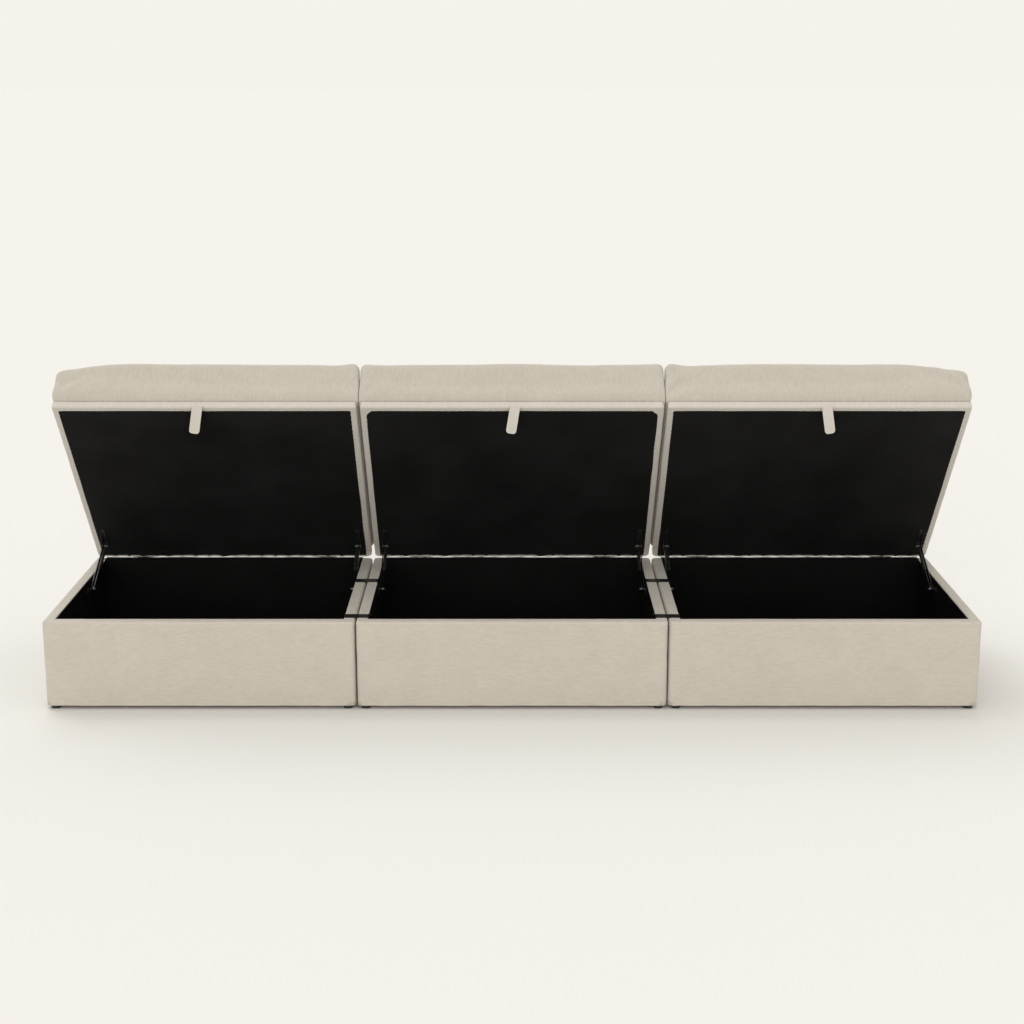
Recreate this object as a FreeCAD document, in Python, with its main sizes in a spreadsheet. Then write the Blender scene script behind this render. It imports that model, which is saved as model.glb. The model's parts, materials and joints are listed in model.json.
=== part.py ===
"""A run of three upholstered storage seats with lift-up lids, drawn with the lids open.

Each seat is a low box of timber boards under a fabric cover, lined with black cloth and standing on small
round glides. Its lid is a board with a thick cushion, hinged at the back and held up by two gas struts,
each beside a slotted stay bar. Steel clips and a bolt tie neighbouring boxes together.

Millimetres. X runs along the run of seats, Y from front to back, Z up from the floor.
"""
import FreeCAD, Part
import math
import os
import re
from types import SimpleNamespace

import Sketcher

Vector = FreeCAD.Vector
X_AXIS = Vector(1, 0, 0)
Z_AXIS = Vector(0, 0, 1)

SIZES = {
    # the run of seats
    "module_width": 995,
    "module_gap": 5,
    "sofa_depth": 850,
    "box_height": 280,
    # timber of the storage box
    "board_thickness": 25,
    "floor_thickness": 12,
    "cleat_height": 18,
    "cleat_width": 30,
    "block_leg": 55,
    # cover of the storage box
    "cover_thickness": 5,
    "rim_cover": 4,
    "turn_under": 2,
    "turn_under_width": 50,
    "box_corner": 14,
    "rim_round": 8,
    # black lining of the storage box
    "lining_thickness": 5,
    "floor_lining": 3,
    "back_turnover": 6,
    # glides under the box
    "foot_height": 12,
    "foot_diameter": 30,
    "foot_inset_side": 26,
    "foot_inset_front": 20,
    "nail_diameter": 5,
    "nail_length": 20,
    # lid board and its cloths
    "open_angle": 48.5,
    "lid_gap": 12,
    "lid_closed_gap": 3,
    "deck_thickness": 22,
    "lid_cover": 3,
    "lid_turn_under": 2,
    "lid_turn_width": 60,
    "lid_corner": 8,
    "lid_border": 18,
    "lid_border_rear": 3,
    "lid_cloth": 1,
    "cloth_corner": 20,
    # seat cushion
    "cushion_gap": 1.2,
    "cushion_overhang": 5,
    "cushion_height": 158,
    "cushion_crown": 7,
    "cushion_round": 45,
    "cushion_corner": 38,
    "cushion_draw": 4,
    "cushion_tuck": 6,
    "cushion_slope": 130,
    # pull tab
    "tab_width": 33,
    "tab_length": 90,
    "tab_thickness": 5,
    "tab_rise": 2,
    "tab_play": 0.4,
    "tab_corner": 10,
    "tab_lean": 9,
    "tab_shift_left": -20,
    "tab_shift_middle": 10,
    "tab_shift_right": 21,
    # butt hinges at the back
    "hinge_spread": 330,
    "hinge_length": 75,
    "hinge_barrel": 7,
    "hinge_pin": 4,
    "hinge_leaf": 1.5,
    "hinge_lid_leaf_height": 26,
    "hinge_base_leaf_height": 30,
    "knuckle_play": 0.3,
    "pin_play": 0.05,
    # lift mechanism
    "stud_back": 300,
    "stud_drop": 38,
    "strut_reach": 95,
    "strut_drop": 20,
    "stud_diameter": 6,
    "shoulder_diameter": 10,
    "rivet_diameter": 11,
    "plate_thickness": 2,
    "side_play": 0.3,
    "ear_offset": 1.7,
    "bar_offset": 4,
    "strut_offset": 13.5,
    "eye_diameter": 16,
    "eye_thickness": 10,
    "stud_play": 0.1,
    "socket_diameter": 9,
    "socket_length": 18,
    "tube_diameter": 12,
    "tube_length": 125,
    "rod_diameter": 6,
    "rod_grip": 30,
    "rod_play": 0.2,
    "bar_width": 14,
    "slot_play": 0.2,
    "bracket_length": 80,
    "bracket_height": 28,
    "bracket_holes": 56,
    "lid_leaf_length": 90,
    "lid_leaf_width": 18,
    "lid_leaf_behind": 15,
    "lid_leaf_holes": 50,
    "ear_width": 22,
    "ear_taper": 40,
    "ear_tail": 8,
    "lock_nut_thickness": 3,
    # screws
    "screw_diameter": 4,
    "screw_length": 18,
    "screw_head": 8,
    "screw_head_height": 1.6,
    "screw_play": 0.2,
    # clips and bolts that join the boxes
    "clip_thickness": 1.5,
    "clip_width": 40,
    "clip_leg": 18,
    "clip_front": 68,
    "clip_rear": 518,
    "clip_screw_drop": 10,
    "bolt_behind_front": 155,
    "bolt_drop": 20,
    "bolt_diameter": 6,
    "bolt_head": 12,
    "bolt_head_height": 3.5,
    "nut_diameter": 11,
    "cap_diameter": 9,
    "cap_height": 5,
    "nut_grip": 6,
}

MODULES = {"left": -1, "middle": 0, "right": 1}
LEANS = {"left": 1, "middle": 1, "right": -1}
SIDES = {"l": 1, "r": -1}  # a side wall of a box, and the way along X from it into the box
JOINTS = {"left": -0.5, "right": 0.5}  # the joints between the boxes, in pitches from the centre

# how many sides a bar, pin or hole has
ROUND = 0
SLENDER = 12
KNUCKLE = 8
HEXAGON = 6
CORNER_CHORDS = 5


def find_places(sizes):
    """Places that follow from the sizes, kept beside them in the sheet as plain numbers."""
    s = SimpleNamespace(**sizes)
    opening = math.radians(s.open_angle)
    pitch = s.module_width + s.module_gap
    rim = s.foot_height + s.box_height
    board_bottom = s.foot_height + s.turn_under
    # the hinge barrel lies against the back face, its top level with the rim
    axis_out = s.hinge_barrel / 2
    underside = s.lid_closed_gap + s.hinge_barrel / 2
    deck_top = underside + s.lid_turn_under + s.deck_thickness
    shoulder = s.cushion_height - s.cushion_crown - s.cushion_round
    # the round of the cushion's back edge leans furthest back when the lid is open
    lean = (
        axis_out
        + (deck_top + shoulder) * math.sin(opening)
        - (axis_out + s.cushion_round) * math.cos(opening)
        + s.cushion_round
    )
    front = -(s.sofa_depth + lean) / 2
    back = front + s.sofa_depth
    axis_y = back + axis_out
    axis_z = rim - s.hinge_barrel / 2

    def lifted(y, z):
        """A place on the closed lid, from the hinge axis, once the lid is open."""
        return (
            y * math.cos(opening) + z * math.sin(opening),
            z * math.cos(opening) - y * math.sin(opening),
        )

    # the strut's two studs seen from the side, from the hinge axis
    base_stud = (back - s.stud_back - axis_y, rim - s.stud_drop - axis_z)
    lid_stud = (-s.strut_reach, underside - s.strut_drop)
    lid_stud_open = lifted(*lid_stud)
    run_closed, rise_closed = (a - b for a, b in zip(lid_stud, base_stud))
    run_open, rise_open = (a - b for a, b in zip(lid_stud_open, base_stud))
    # the tab hangs just clear of the lid's lower front edge when the lid is open
    tab_stand = (s.tab_thickness / 2 + s.tab_play) / math.cos(opening)
    tab_y, tab_z = lifted(-axis_out - s.sofa_depth - tab_stand, underside)
    return {
        "module_pitch": pitch,
        "rim_top": rim,
        "wall": s.cover_thickness + s.board_thickness + s.lining_thickness,
        "board_bottom": board_bottom,
        "board_height": s.box_height - s.turn_under - s.rim_cover,
        "floor_bottom": board_bottom + s.cleat_height,
        "front_face": front,
        "back_face": back,
        "hinge_y": axis_y,
        "hinge_z": axis_z,
        "lid_width": pitch - s.lid_gap,
        "cushion_width": pitch - s.cushion_gap,
        "lid_underside": underside,
        "deck_top": deck_top,
        "lid_rear": -axis_out,
        "tab_y": axis_y + tab_y,
        "tab_z": axis_z + tab_z,
        "stud_y": axis_y + base_stud[0],
        "stud_z": axis_z + base_stud[1],
        "strut_length": math.hypot(run_open, rise_open),
        "strut_stroke": math.hypot(run_open, rise_open) - math.hypot(run_closed, rise_closed),
        "strut_angle": math.degrees(math.atan2(rise_open, run_open)),
    }


doc = FreeCAD.newDocument("storage_sofa")
sheet = doc.addObject("Spreadsheet::Sheet", "sizes")
NAMED = {**SIZES, **find_places(SIZES)}
for row, (name, number) in enumerate(NAMED.items(), start=1):
    sheet.set(f"A{row}", name)
    sheet.set(f"B{row}", repr(float(number)))
    sheet.setAlias(f"B{row}", name)
doc.recompute()

SUB_PARTS = []


# Helpers for sums of named sizes
def rule(text):
    """A sum of named sizes with each name pointed at its cell in the sheet."""
    return re.sub(r"[a-z]\w+", lambda word: cell(word[0]), str(text))


def cell(word):
    return f"sizes.{word}" if word in NAMED else word


def measure(text):
    """The number that a sum of named sizes comes to."""
    return float(sheet.evalExpression(rule(text)))


def bind(thing, rules):
    """Ties properties of an object to sums of named sizes."""
    for path, text in rules.items():
        thing.setExpression(path, rule(text))
    return thing


def place(thing, spot=("0", "0", "0"), turn=None, angle="0"):
    """Puts an object at a spot, turned about an axis by an angle."""
    if turn is not None:
        thing.Placement = FreeCAD.Placement(Vector(), FreeCAD.Rotation(turn, 1))
        bind(thing, {".Placement.Rotation.Angle": angle})
    return bind(thing, {f".Placement.Base.{axis}": text for axis, text in zip("xyz", spot)})


def centre_of(module):
    return f"{MODULES[module]} * module_pitch"


def put_on_lid(thing, module, shift="0"):
    """Lid pieces are drawn closed about their hinge axis, then raised by the opening angle."""
    spot = (f"{centre_of(module)} + {shift}", "hinge_y", "hinge_z")
    return place(thing, spot, turn=-X_AXIS, angle="open_angle")


def wall_face(module, side):
    """X of the lined face of a side wall."""
    return f"{centre_of(module)} - {SIDES[side]} * (module_width / 2 - wall)"


def inward(side, near, far):
    """Low end along X of what spans from near to far, both measured from the wall into the box."""
    return f"({near})" if SIDES[side] > 0 else f"-({far})"


# Helpers for solids
def keep(label, thing):
    """Lists an object as a sub-part of the seat under its own label."""
    thing.Label = label
    SUB_PARTS.append(thing)
    return thing


def group(label, things):
    """Like pieces kept as one sub-part, each still a solid of its own."""
    whole = doc.addObject("Part::Compound", f"{label}_group")
    whole.Links = things
    return keep(label, whole)


def block(name, size, corner):
    """A board from its three sizes and its lowest corner."""
    board = doc.addObject("Part::Box", name)
    bind(board, dict(zip(("Length", "Width", "Height"), size)))
    return place(board, corner)


def turned(name, stages):
    """A piece along +Z built of stages one on another: each is (radius, sides, length).

    A stage without sides is round; small fasteners are prisms of a few sides, which keeps them light.
    """
    pieces = []
    start = "0"
    for number, (radius, sides, length) in enumerate(stages):
        if sides == ROUND:
            piece = doc.addObject("Part::Cylinder", f"{name}_{number}")
            bind(piece, {"Radius": radius, "Height": length})
        else:
            piece = doc.addObject("Part::Prism", f"{name}_{number}")
            piece.Polygon = sides
            bind(piece, {"Circumradius": radius, "Height": length})
        pieces.append(place(piece, ("0", "0", start)))
        start = f"{start} + {length}"
    if len(pieces) == 1:
        return pieces[0]
    whole = doc.addObject("Part::MultiFuse", name)
    whole.Shapes = pieces
    return whole


def aim(thing, way, spot):
    """Turns a piece drawn along +Z to point another way and puts its start at a spot."""
    thing.Placement = FreeCAD.Placement(Vector(), FreeCAD.Rotation(Z_AXIS, way))
    return place(thing, spot)


def cut(name, solid, tool):
    result = doc.addObject("Part::Cut", name)
    result.Base = solid
    result.Tool = tool
    return result


# Helpers for bodies made by features
def new_body(name):
    return doc.addObject("PartDesign::Body", f"{name}_body")


def plane_of(body, role):
    return next(f for f in body.Origin.OriginFeatures if f.Role == role)


def body_box(body, kind, size, corner):
    """Adds a box to a body or takes one away; kind is Additive or Subtractive."""
    box = body.newObject(f"PartDesign::{kind}Box", f"{kind}Box")
    bind(box, dict(zip(("Length", "Width", "Height"), size)))
    return place(box, corner)


def body_rod(body, kind, radius, length, start, along=X_AXIS, sides=ROUND):
    """Adds or takes away a bar that grows from the start point; a hole's sides clear its radius."""
    if sides == ROUND:
        rod = body.newObject(f"PartDesign::{kind}Cylinder", f"{kind}Rod")
        bind(rod, {"Radius": radius, "Height": length})
    else:
        rod = body.newObject(f"PartDesign::{kind}Prism", f"{kind}Prism")
        rod.Polygon = sides
        reach = radius if kind == "Additive" else f"({radius}) / cos(180 / {sides})"
        bind(rod, {"Circumradius": reach, "Height": length})
    return aim(rod, along, start)


def padded_outline(body, role, outline, length):
    """A sketch of straight edges on an origin plane, padded; corners are sums of named sizes."""
    sketch = body.newObject("Sketcher::SketchObject", "Outline")
    sketch.AttachmentSupport = [(plane_of(body, role), "")]
    sketch.MapMode = "FlatFace"
    corners = [Vector(measure(across), measure(up), 0) for across, up in outline]
    following = corners[1:] + corners[:1]
    for corner, next_corner in zip(corners, following):
        sketch.addGeometry(Part.LineSegment(corner, next_corner))
    count = len(corners)
    for number in range(count):
        joint = Sketcher.Constraint("Coincident", number, 2, (number + 1) % count, 1)
        sketch.addConstraint(joint)
    for number, sums in enumerate(outline):
        for kind, text in zip(("DistanceX", "DistanceY"), sums):
            limit = Sketcher.Constraint(kind, -1, 1, number, 1, measure(text))
            index = sketch.addConstraint(limit)
            sketch.setExpression(f"Constraints[{index}]", rule(text))
    pad = body.newObject("PartDesign::Pad", "Pad")
    pad.Profile = sketch
    return bind(pad, {"Length": length})


def round_edges(body, radius, wanted):
    """Rounds those edges of a body's latest feature that pass a test."""
    doc.recompute()
    latest = body.Tip
    names = [f"Edge{n}" for n, edge in enumerate(latest.Shape.Edges, start=1) if wanted(edge)]
    fillet = body.newObject("PartDesign::Fillet", "Round")
    fillet.Base = (latest, names)
    return bind(fillet, {"Radius": radius})


def runs_along(edge, axis):
    """Whether an edge is straight and lies along an axis."""
    if edge.Curve.TypeId != "Part::GeomLine":
        return False
    return edge.Curve.Direction.cross(axis).Length < 1e-6


# The storage boxes
BOX_LEFT = "- module_width / 2 + cover_thickness"
INSIDE_LEFT = f"{BOX_LEFT} + board_thickness"
INSIDE_WIDTH = "module_width - 2 * (cover_thickness + board_thickness)"
INSIDE_FRONT = "front_face + cover_thickness + board_thickness"
INSIDE_DEPTH = "sofa_depth - 2 * (cover_thickness + board_thickness)"
LINED_LEFT = "- module_width / 2 + wall"
LINED_WIDTH = "module_width - 2 * wall"


def make_boards():
    full_width = "module_width - 2 * cover_thickness"
    fronts, backs, sides = [], [], []
    for module in MODULES:
        left = f"{centre_of(module)} {BOX_LEFT}"
        size = (full_width, "board_thickness", "board_height")
        front = (left, "front_face + cover_thickness", "board_bottom")
        back = (left, "back_face - cover_thickness - board_thickness", "board_bottom")
        fronts.append(block(f"front_board_{module}", size, front))
        backs.append(block(f"back_board_{module}", size, back))
        for side in SIDES:
            shift = "0" if side == "l" else f"{full_width} - board_thickness"
            corner = (f"{left} + {shift}", INSIDE_FRONT, "board_bottom")
            size = ("board_thickness", INSIDE_DEPTH, "board_height")
            sides.append(block(f"side_board_{module}_{side}", size, corner))
    group("front_boards", fronts)
    group("back_boards", backs)
    group("side_boards", sides)


def make_floors():
    floors, cleats, blocks = [], [], []
    for module in MODULES:
        left = f"{centre_of(module)} {INSIDE_LEFT}"
        floors.append(
            block(
                f"floor_{module}",
                (INSIDE_WIDTH, INSIDE_DEPTH, "floor_thickness"),
                (left, INSIDE_FRONT, "floor_bottom"),
            )
        )
        for end, shift in {"front": "0", "back": f"{INSIDE_DEPTH} - cleat_width"}.items():
            cleats.append(
                block(
                    f"cleat_{module}_{end}",
                    (INSIDE_WIDTH, "cleat_width", "cleat_height"),
                    (left, f"{INSIDE_FRONT} + {shift}", "board_bottom"),
                )
            )
        for side, shift in {"l": "0", "r": f"{INSIDE_WIDTH} - cleat_width"}.items():
            cleats.append(
                block(
                    f"cleat_{module}_{side}",
                    ("cleat_width", f"{INSIDE_DEPTH} - 2 * cleat_width", "cleat_height"),
                    (f"{left} + {shift}", f"{INSIDE_FRONT} + cleat_width", "board_bottom"),
                )
            )
            for end in ("front", "back"):
                blocks.append(corner_block(module, side, end))
    group("storage_floors", floors)
    group("floor_cleats", cleats)
    group("corner_blocks", blocks)


def corner_block(module, side, end):
    """A triangular block glued into a corner between two cleats."""
    across = SIDES[side]
    back = 1 if end == "front" else -1
    body = new_body(f"corner_block_{module}_{side}_{end}")
    triangle = [("0", "0"), (f"{across} * block_leg", "0"), ("0", f"{back} * block_leg")]
    padded_outline(body, "XY_Plane", triangle, "cleat_height")
    inset = "cover_thickness + board_thickness + cleat_width"
    face = "front_face" if end == "front" else "back_face"
    return place(
        body,
        (
            f"{centre_of(module)} - {across} * (module_width / 2 - ({inset}))",
            f"{face} + {back} * ({inset})",
            "board_bottom",
        ),
    )


def make_base_cover(module):
    """The fabric cover of a box: a skin over the four faces, the rim and a strip underneath."""
    body = new_body(f"base_cover_{module}")
    left = f"{centre_of(module)} - module_width / 2"
    body_box(
        body,
        "Additive",
        ("module_width", "sofa_depth", "box_height"),
        (left, "front_face", "foot_height"),
    )
    round_edges(body, "box_corner", lambda edge: runs_along(edge, Z_AXIS))
    round_edges(body, "rim_round", lambda edge: edge.CenterOfMass.z > measure("rim_top") - 1)
    body_box(
        body,
        "Subtractive",
        (
            "module_width - 2 * cover_thickness",
            "sofa_depth - 2 * cover_thickness",
            "board_height",
        ),
        (f"{centre_of(module)} {BOX_LEFT}", "front_face + cover_thickness", "board_bottom"),
    )
    body_box(
        body,
        "Subtractive",
        (LINED_WIDTH, "sofa_depth - wall - back_turnover", "box_height"),
        (f"{centre_of(module)} {LINED_LEFT}", "front_face + wall", "foot_height + turn_under"),
    )
    body_box(
        body,
        "Subtractive",
        (
            "module_width - 2 * turn_under_width",
            "sofa_depth - 2 * turn_under_width",
            "box_height / 2",
        ),
        (f"{left} + turn_under_width", "front_face + turn_under_width", "0"),
    )
    keep(f"base_cover_{module}", body)


def make_storage_lining(module):
    """Black cloth over the inside of the boards and the floor, turned over the back board's top."""
    body = new_body(f"storage_lining_{module}")
    floor_top = "floor_bottom + floor_thickness"
    inside_left = f"{centre_of(module)} {INSIDE_LEFT}"
    lined_left = f"{centre_of(module)} {LINED_LEFT}"
    board_top = "board_bottom + board_height"
    body_box(
        body,
        "Additive",
        (INSIDE_WIDTH, INSIDE_DEPTH, f"{board_top} - ({floor_top})"),
        (inside_left, INSIDE_FRONT, floor_top),
    )
    body_box(
        body,
        "Subtractive",
        (LINED_WIDTH, "sofa_depth - 2 * wall", "box_height"),
        (lined_left, "front_face + wall", f"{floor_top} + floor_lining"),
    )
    body_box(
        body,
        "Additive",
        (LINED_WIDTH, "wall - back_turnover", "rim_cover"),
        (lined_left, "back_face - wall", board_top),
    )
    keep(f"storage_lining_{module}", body)


def make_feet():
    """Round glides, each on a nail driven up through the cover into a board."""
    feet = []
    nail = "nail_diameter / 2"
    rim = "foot_diameter / 2"
    for module in MODULES:
        for side in SIDES:
            for end, back in {"front": 1, "back": -1}.items():
                foot = turned(
                    f"foot_{module}_{side}_{end}",
                    [
                        (rim, ROUND, "foot_height"),
                        (nail, HEXAGON, "nail_length"),
                    ],
                )
                across = f"{SIDES[side]} * (module_width / 2 - foot_inset_side)"
                spot = (
                    f"{centre_of(module)} - {across}",
                    f"{end}_face + {back} * foot_inset_front",
                    "0",
                )
                feet.append(place(foot, spot))
    group("feet", feet)


# What joins the boxes
def screw(name):
    """A hexagon-head wood screw along +Z, its head's top at the start."""
    return turned(
        name,
        [
            ("screw_head / 2", HEXAGON, "screw_head_height"),
            ("screw_diameter / 2", HEXAGON, "screw_length"),
        ],
    )


def screw_hole(body, length, start, along=X_AXIS):
    radius = "screw_diameter / 2 + screw_play"
    return body_rod(body, "Subtractive", radius, length, start, along, HEXAGON)


def make_clips():
    """Steel clips folded over two neighbouring side walls."""
    clips = []
    outer = "module_gap / 2 + wall + clip_thickness"
    inner = "module_gap / 2 + wall"
    for joint, pitches in JOINTS.items():
        for row in ("front", "rear"):
            body = new_body(f"clip_{joint}_{row}")
            padded_outline(
                body,
                "XZ_Plane",
                [
                    (f"-({outer})", "-clip_leg"),
                    (f"-({inner})", "-clip_leg"),
                    (f"-({inner})", "0"),
                    (inner, "0"),
                    (inner, "-clip_leg"),
                    (outer, "-clip_leg"),
                    (outer, "clip_thickness"),
                    (f"-({outer})", "clip_thickness"),
                ],
                "clip_width",
            )
            hole = (f"-({outer})", "-clip_width / 2", "-clip_screw_drop")
            screw_hole(body, f"2 * ({outer})", hole)
            spot = (
                f"{pitches} * module_pitch",
                f"front_face + clip_{row} + clip_width / 2",
                "rim_top",
            )
            clips.append(place(body, spot))
    group("connector_clips", clips)


def clip_screws():
    screws = []
    for joint, pitches in JOINTS.items():
        for row in ("front", "rear"):
            for side, way in SIDES.items():
                thing = screw(f"clip_screw_{joint}_{row}_{side}")
                reach = "module_gap / 2 + wall + clip_thickness + screw_head_height"
                spot = (
                    f"{pitches} * module_pitch + {way} * ({reach})",
                    f"front_face + clip_{row}",
                    "rim_top - clip_screw_drop",
                )
                screws.append(aim(thing, -way * X_AXIS, spot))
    return screws


def connector_bolts():
    """A bolt through each pair of walls, with a dome nut on the side of the outer box."""
    fasteners = []
    shank = "bolt_diameter / 2"
    head = "bolt_head / 2"
    rim = "nut_diameter / 2"
    reach = "module_gap / 2 + wall"
    for joint, pitches in JOINTS.items():
        outward = 1 if pitches > 0 else -1
        spot = [
            f"{pitches} * module_pitch",
            "front_face + bolt_behind_front",
            "rim_top - bolt_drop",
        ]
        bolt = turned(
            f"bolt_{joint}",
            [
                (head, HEXAGON, "bolt_head_height"),
                (shank, SLENDER, f"2 * ({reach}) + nut_grip"),
            ],
        )
        start = f"{spot[0]} - {outward} * ({reach} + bolt_head_height)"
        fasteners.append(aim(bolt, outward * X_AXIS, (start, spot[1], spot[2])))
        cap = turned(
            f"cap_{joint}",
            [
                (rim, HEXAGON, "nut_grip"),
                ("cap_diameter / 2", ROUND, "cap_height"),
            ],
        )
        bore = turned(f"nut_bore_{joint}", [(f"{shank} + pin_play", SLENDER, "nut_grip + pin_play")])
        nut = cut(f"nut_{joint}", cap, bore)
        start = f"{spot[0]} + {outward} * ({reach})"
        fasteners.append(aim(nut, outward * X_AXIS, (start, spot[1], spot[2])))
    return fasteners


# Butt hinges
HINGE_SPREADS = {"l": -1, "r": 1}


def hinge_leaf_body(name, way, height, knuckles):
    """A hinge leaf on the axis: way is 1 for a leaf that stands up, -1 for one that hangs down."""
    body = new_body(name)
    back = "- hinge_barrel / 2"
    clear = "hinge_barrel / 2 + knuckle_play"
    leaf_low = clear if way > 0 else f"-({height})"
    body_box(
        body,
        "Additive",
        ("hinge_length", "hinge_leaf", f"{height} - ({clear})"),
        ("-hinge_length / 2", back, leaf_low),
    )
    tab_low = "0" if way > 0 else f"-({clear})"
    for knuckle in knuckles:
        length = "hinge_length / 5 - 2 * knuckle_play"
        start = f"-hinge_length / 2 + {knuckle} * hinge_length / 5 + knuckle_play"
        body_box(body, "Additive", (length, "hinge_leaf", clear), (start, back, tab_low))
        barrel = ("hinge_barrel / 2", length, (start, "0", "0"))
        body_rod(body, "Additive", *barrel, sides=KNUCKLE)
    body_rod(
        body,
        "Subtractive",
        "hinge_pin / 2 + pin_play",
        "hinge_length",
        ("-hinge_length / 2", "0", "0"),
        sides=KNUCKLE,
    )
    return body


def make_hinges():
    base_leaves, pins = [], []
    for module in MODULES:
        lid_leaves = []
        for side, way in HINGE_SPREADS.items():
            spot = (f"{centre_of(module)} + {way} * hinge_spread", "hinge_y", "hinge_z")
            name = f"{module}_{side}"
            base = hinge_leaf_body(f"base_leaf_{name}", -1, "hinge_base_leaf_height", (0, 2, 4))
            base_leaves.append(place(base, spot))
            lid = hinge_leaf_body(f"lid_leaf_{name}", 1, "hinge_lid_leaf_height", (1, 3))
            lid_leaves.append(put_on_lid(lid, module, f"{way} * hinge_spread"))
            pin = turned(f"pin_{name}", [("hinge_pin / 2", KNUCKLE, "hinge_length")])
            low = (f"{spot[0]} - hinge_length / 2", spot[1], spot[2])
            pins.append(aim(pin, X_AXIS, low))
        group(f"hinge_lid_leaves_{module}", lid_leaves)
    group("hinge_base_leaves", base_leaves)
    group("hinge_pins", pins)


# Lids
LID_LOW_CORNER = (
    "-lid_width / 2 + lid_cover",
    "lid_rear - sofa_depth + lid_cover",
    "lid_underside + lid_turn_under",
)


def make_lid_deck(module):
    deck = block(
        f"deck_{module}",
        ("lid_width - 2 * lid_cover", "sofa_depth - 2 * lid_cover", "deck_thickness"),
        ("0", "0", "0"),
    )
    whole = doc.addObject("Part::Compound", f"deck_{module}_in_place")
    whole.Links = [deck]
    place(deck, LID_LOW_CORNER)
    keep(f"lid_deck_{module}", put_on_lid(whole, module))


def make_lid_cover(module):
    """Fabric round the edge of the lid board, turned under it all round."""
    body = new_body(f"lid_edge_cover_{module}")
    body_box(
        body,
        "Additive",
        ("lid_width", "sofa_depth", "deck_thickness + lid_turn_under"),
        ("-lid_width / 2", "lid_rear - sofa_depth", "lid_underside"),
    )
    round_edges(body, "lid_corner", lambda edge: runs_along(edge, Z_AXIS))
    body_box(
        body,
        "Subtractive",
        ("lid_width - 2 * lid_cover", "sofa_depth - 2 * lid_cover", "2 * deck_thickness"),
        LID_LOW_CORNER,
    )
    body_box(
        body,
        "Subtractive",
        (
            "lid_width - 2 * lid_turn_width",
            "sofa_depth - 2 * lid_turn_width",
            "deck_thickness",
        ),
        ("-lid_width / 2 + lid_turn_width", "lid_rear - sofa_depth + lid_turn_width", "0"),
    )
    keep(f"lid_edge_cover_{module}", put_on_lid(body, module))


def make_lid_lining(module):
    """Thin black cloth stapled under the lid, its front corners cut off."""
    body = new_body(f"lid_lining_{module}")
    side = "lid_width / 2 - lid_border"
    front = "lid_rear - sofa_depth + lid_border"
    rear = "lid_rear - lid_border_rear"
    pad = padded_outline(
        body,
        "XY_Plane",
        [
            (f"-({side})", rear),
            (f"-({side})", f"{front} + cloth_corner"),
            (f"-({side}) + cloth_corner", front),
            (f"{side} - cloth_corner", front),
            (side, f"{front} + cloth_corner"),
            (side, rear),
        ],
        "lid_cloth",
    )
    bind(pad.Profile[0], {".AttachmentOffset.Base.z": "lid_underside - lid_cloth"})
    keep(f"lid_lining_{module}", put_on_lid(body, module))


def cushion_levels():
    """Levels of the cushion: height over the board, inset of the sides and corner radius."""
    s = SimpleNamespace(**{name: measure(name) for name in SIZES if name.startswith("cushion")})
    shoulder = s.cushion_height - s.cushion_crown - s.cushion_round
    levels = [
        (0, s.cushion_tuck, s.cushion_corner),
        (shoulder / 5, s.cushion_tuck / 3, s.cushion_corner),
        (shoulder * 0.7, 0, s.cushion_corner),
    ]
    for degrees in (22, 44, 66, 90):
        turn = math.radians(degrees)
        inset = s.cushion_round * (1 - math.cos(turn))
        height = shoulder + s.cushion_round * math.sin(turn)
        levels.append((height, inset, s.cushion_corner + inset))
    for share in (0.5, 1):
        rise = s.cushion_crown * (1 - (1 - share) ** 2)
        inset = s.cushion_round + s.cushion_slope * share
        height = s.cushion_height - s.cushion_crown + rise
        levels.append((height, inset, s.cushion_corner + inset * 0.75))
    return levels


def cushion_outline(height, inset, corner):
    """A level of the cushion: round corners in short chords, the sides between them drawn in.

    The draw is the same share of every side's length, so chords of all levels run alike and the
    faces between two levels are flat.
    """
    width = measure("cushion_width") - 2 * inset
    depth = measure("sofa_depth + cushion_overhang") - 2 * inset
    middle = measure("lid_rear - (sofa_depth + cushion_overhang) / 2")
    draw = measure("cushion_draw / (cushion_width / 2)")
    level = measure("deck_top") + height
    ring = []
    for quarter, (across, up) in enumerate(((1, -1), (1, 1), (-1, 1), (-1, -1))):
        hub = (across * (width / 2 - corner), up * (depth / 2 - corner))
        for step in range(CORNER_CHORDS + 1):
            angle = math.radians(90 * (quarter - 1 + step / CORNER_CHORDS))
            ring.append((hub[0] + corner * math.cos(angle), hub[1] + corner * math.sin(angle)))
        side = (depth if quarter % 2 == 0 else width) / 2 - corner
        reach = (width if quarter % 2 == 0 else depth) / 2 - draw * side
        bearing = math.radians(90 * quarter)
        ring.append((reach * math.cos(bearing), reach * math.sin(bearing)))
    return [Vector(x, middle + y, level) for x, y in ring]


def flat_face(corners):
    return Part.Face(Part.makePolygon(corners + corners[:1]))


def make_cushion(module):
    outlines = [cushion_outline(*level) for level in cushion_levels()]
    faces = [flat_face(outlines[0]), flat_face(outlines[-1])]
    for lower, upper in zip(outlines, outlines[1:]):
        for number in range(len(lower)):
            last = (number + 1) % len(lower)
            faces.append(flat_face([lower[number], lower[last], upper[last], upper[number]]))
    cushion = doc.addObject("Part::Feature", f"cushion_{module}")
    cushion.Shape = Part.Solid(Part.Shell(faces))
    keep(f"seat_cushion_{module}", put_on_lid(cushion, module))


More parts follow.
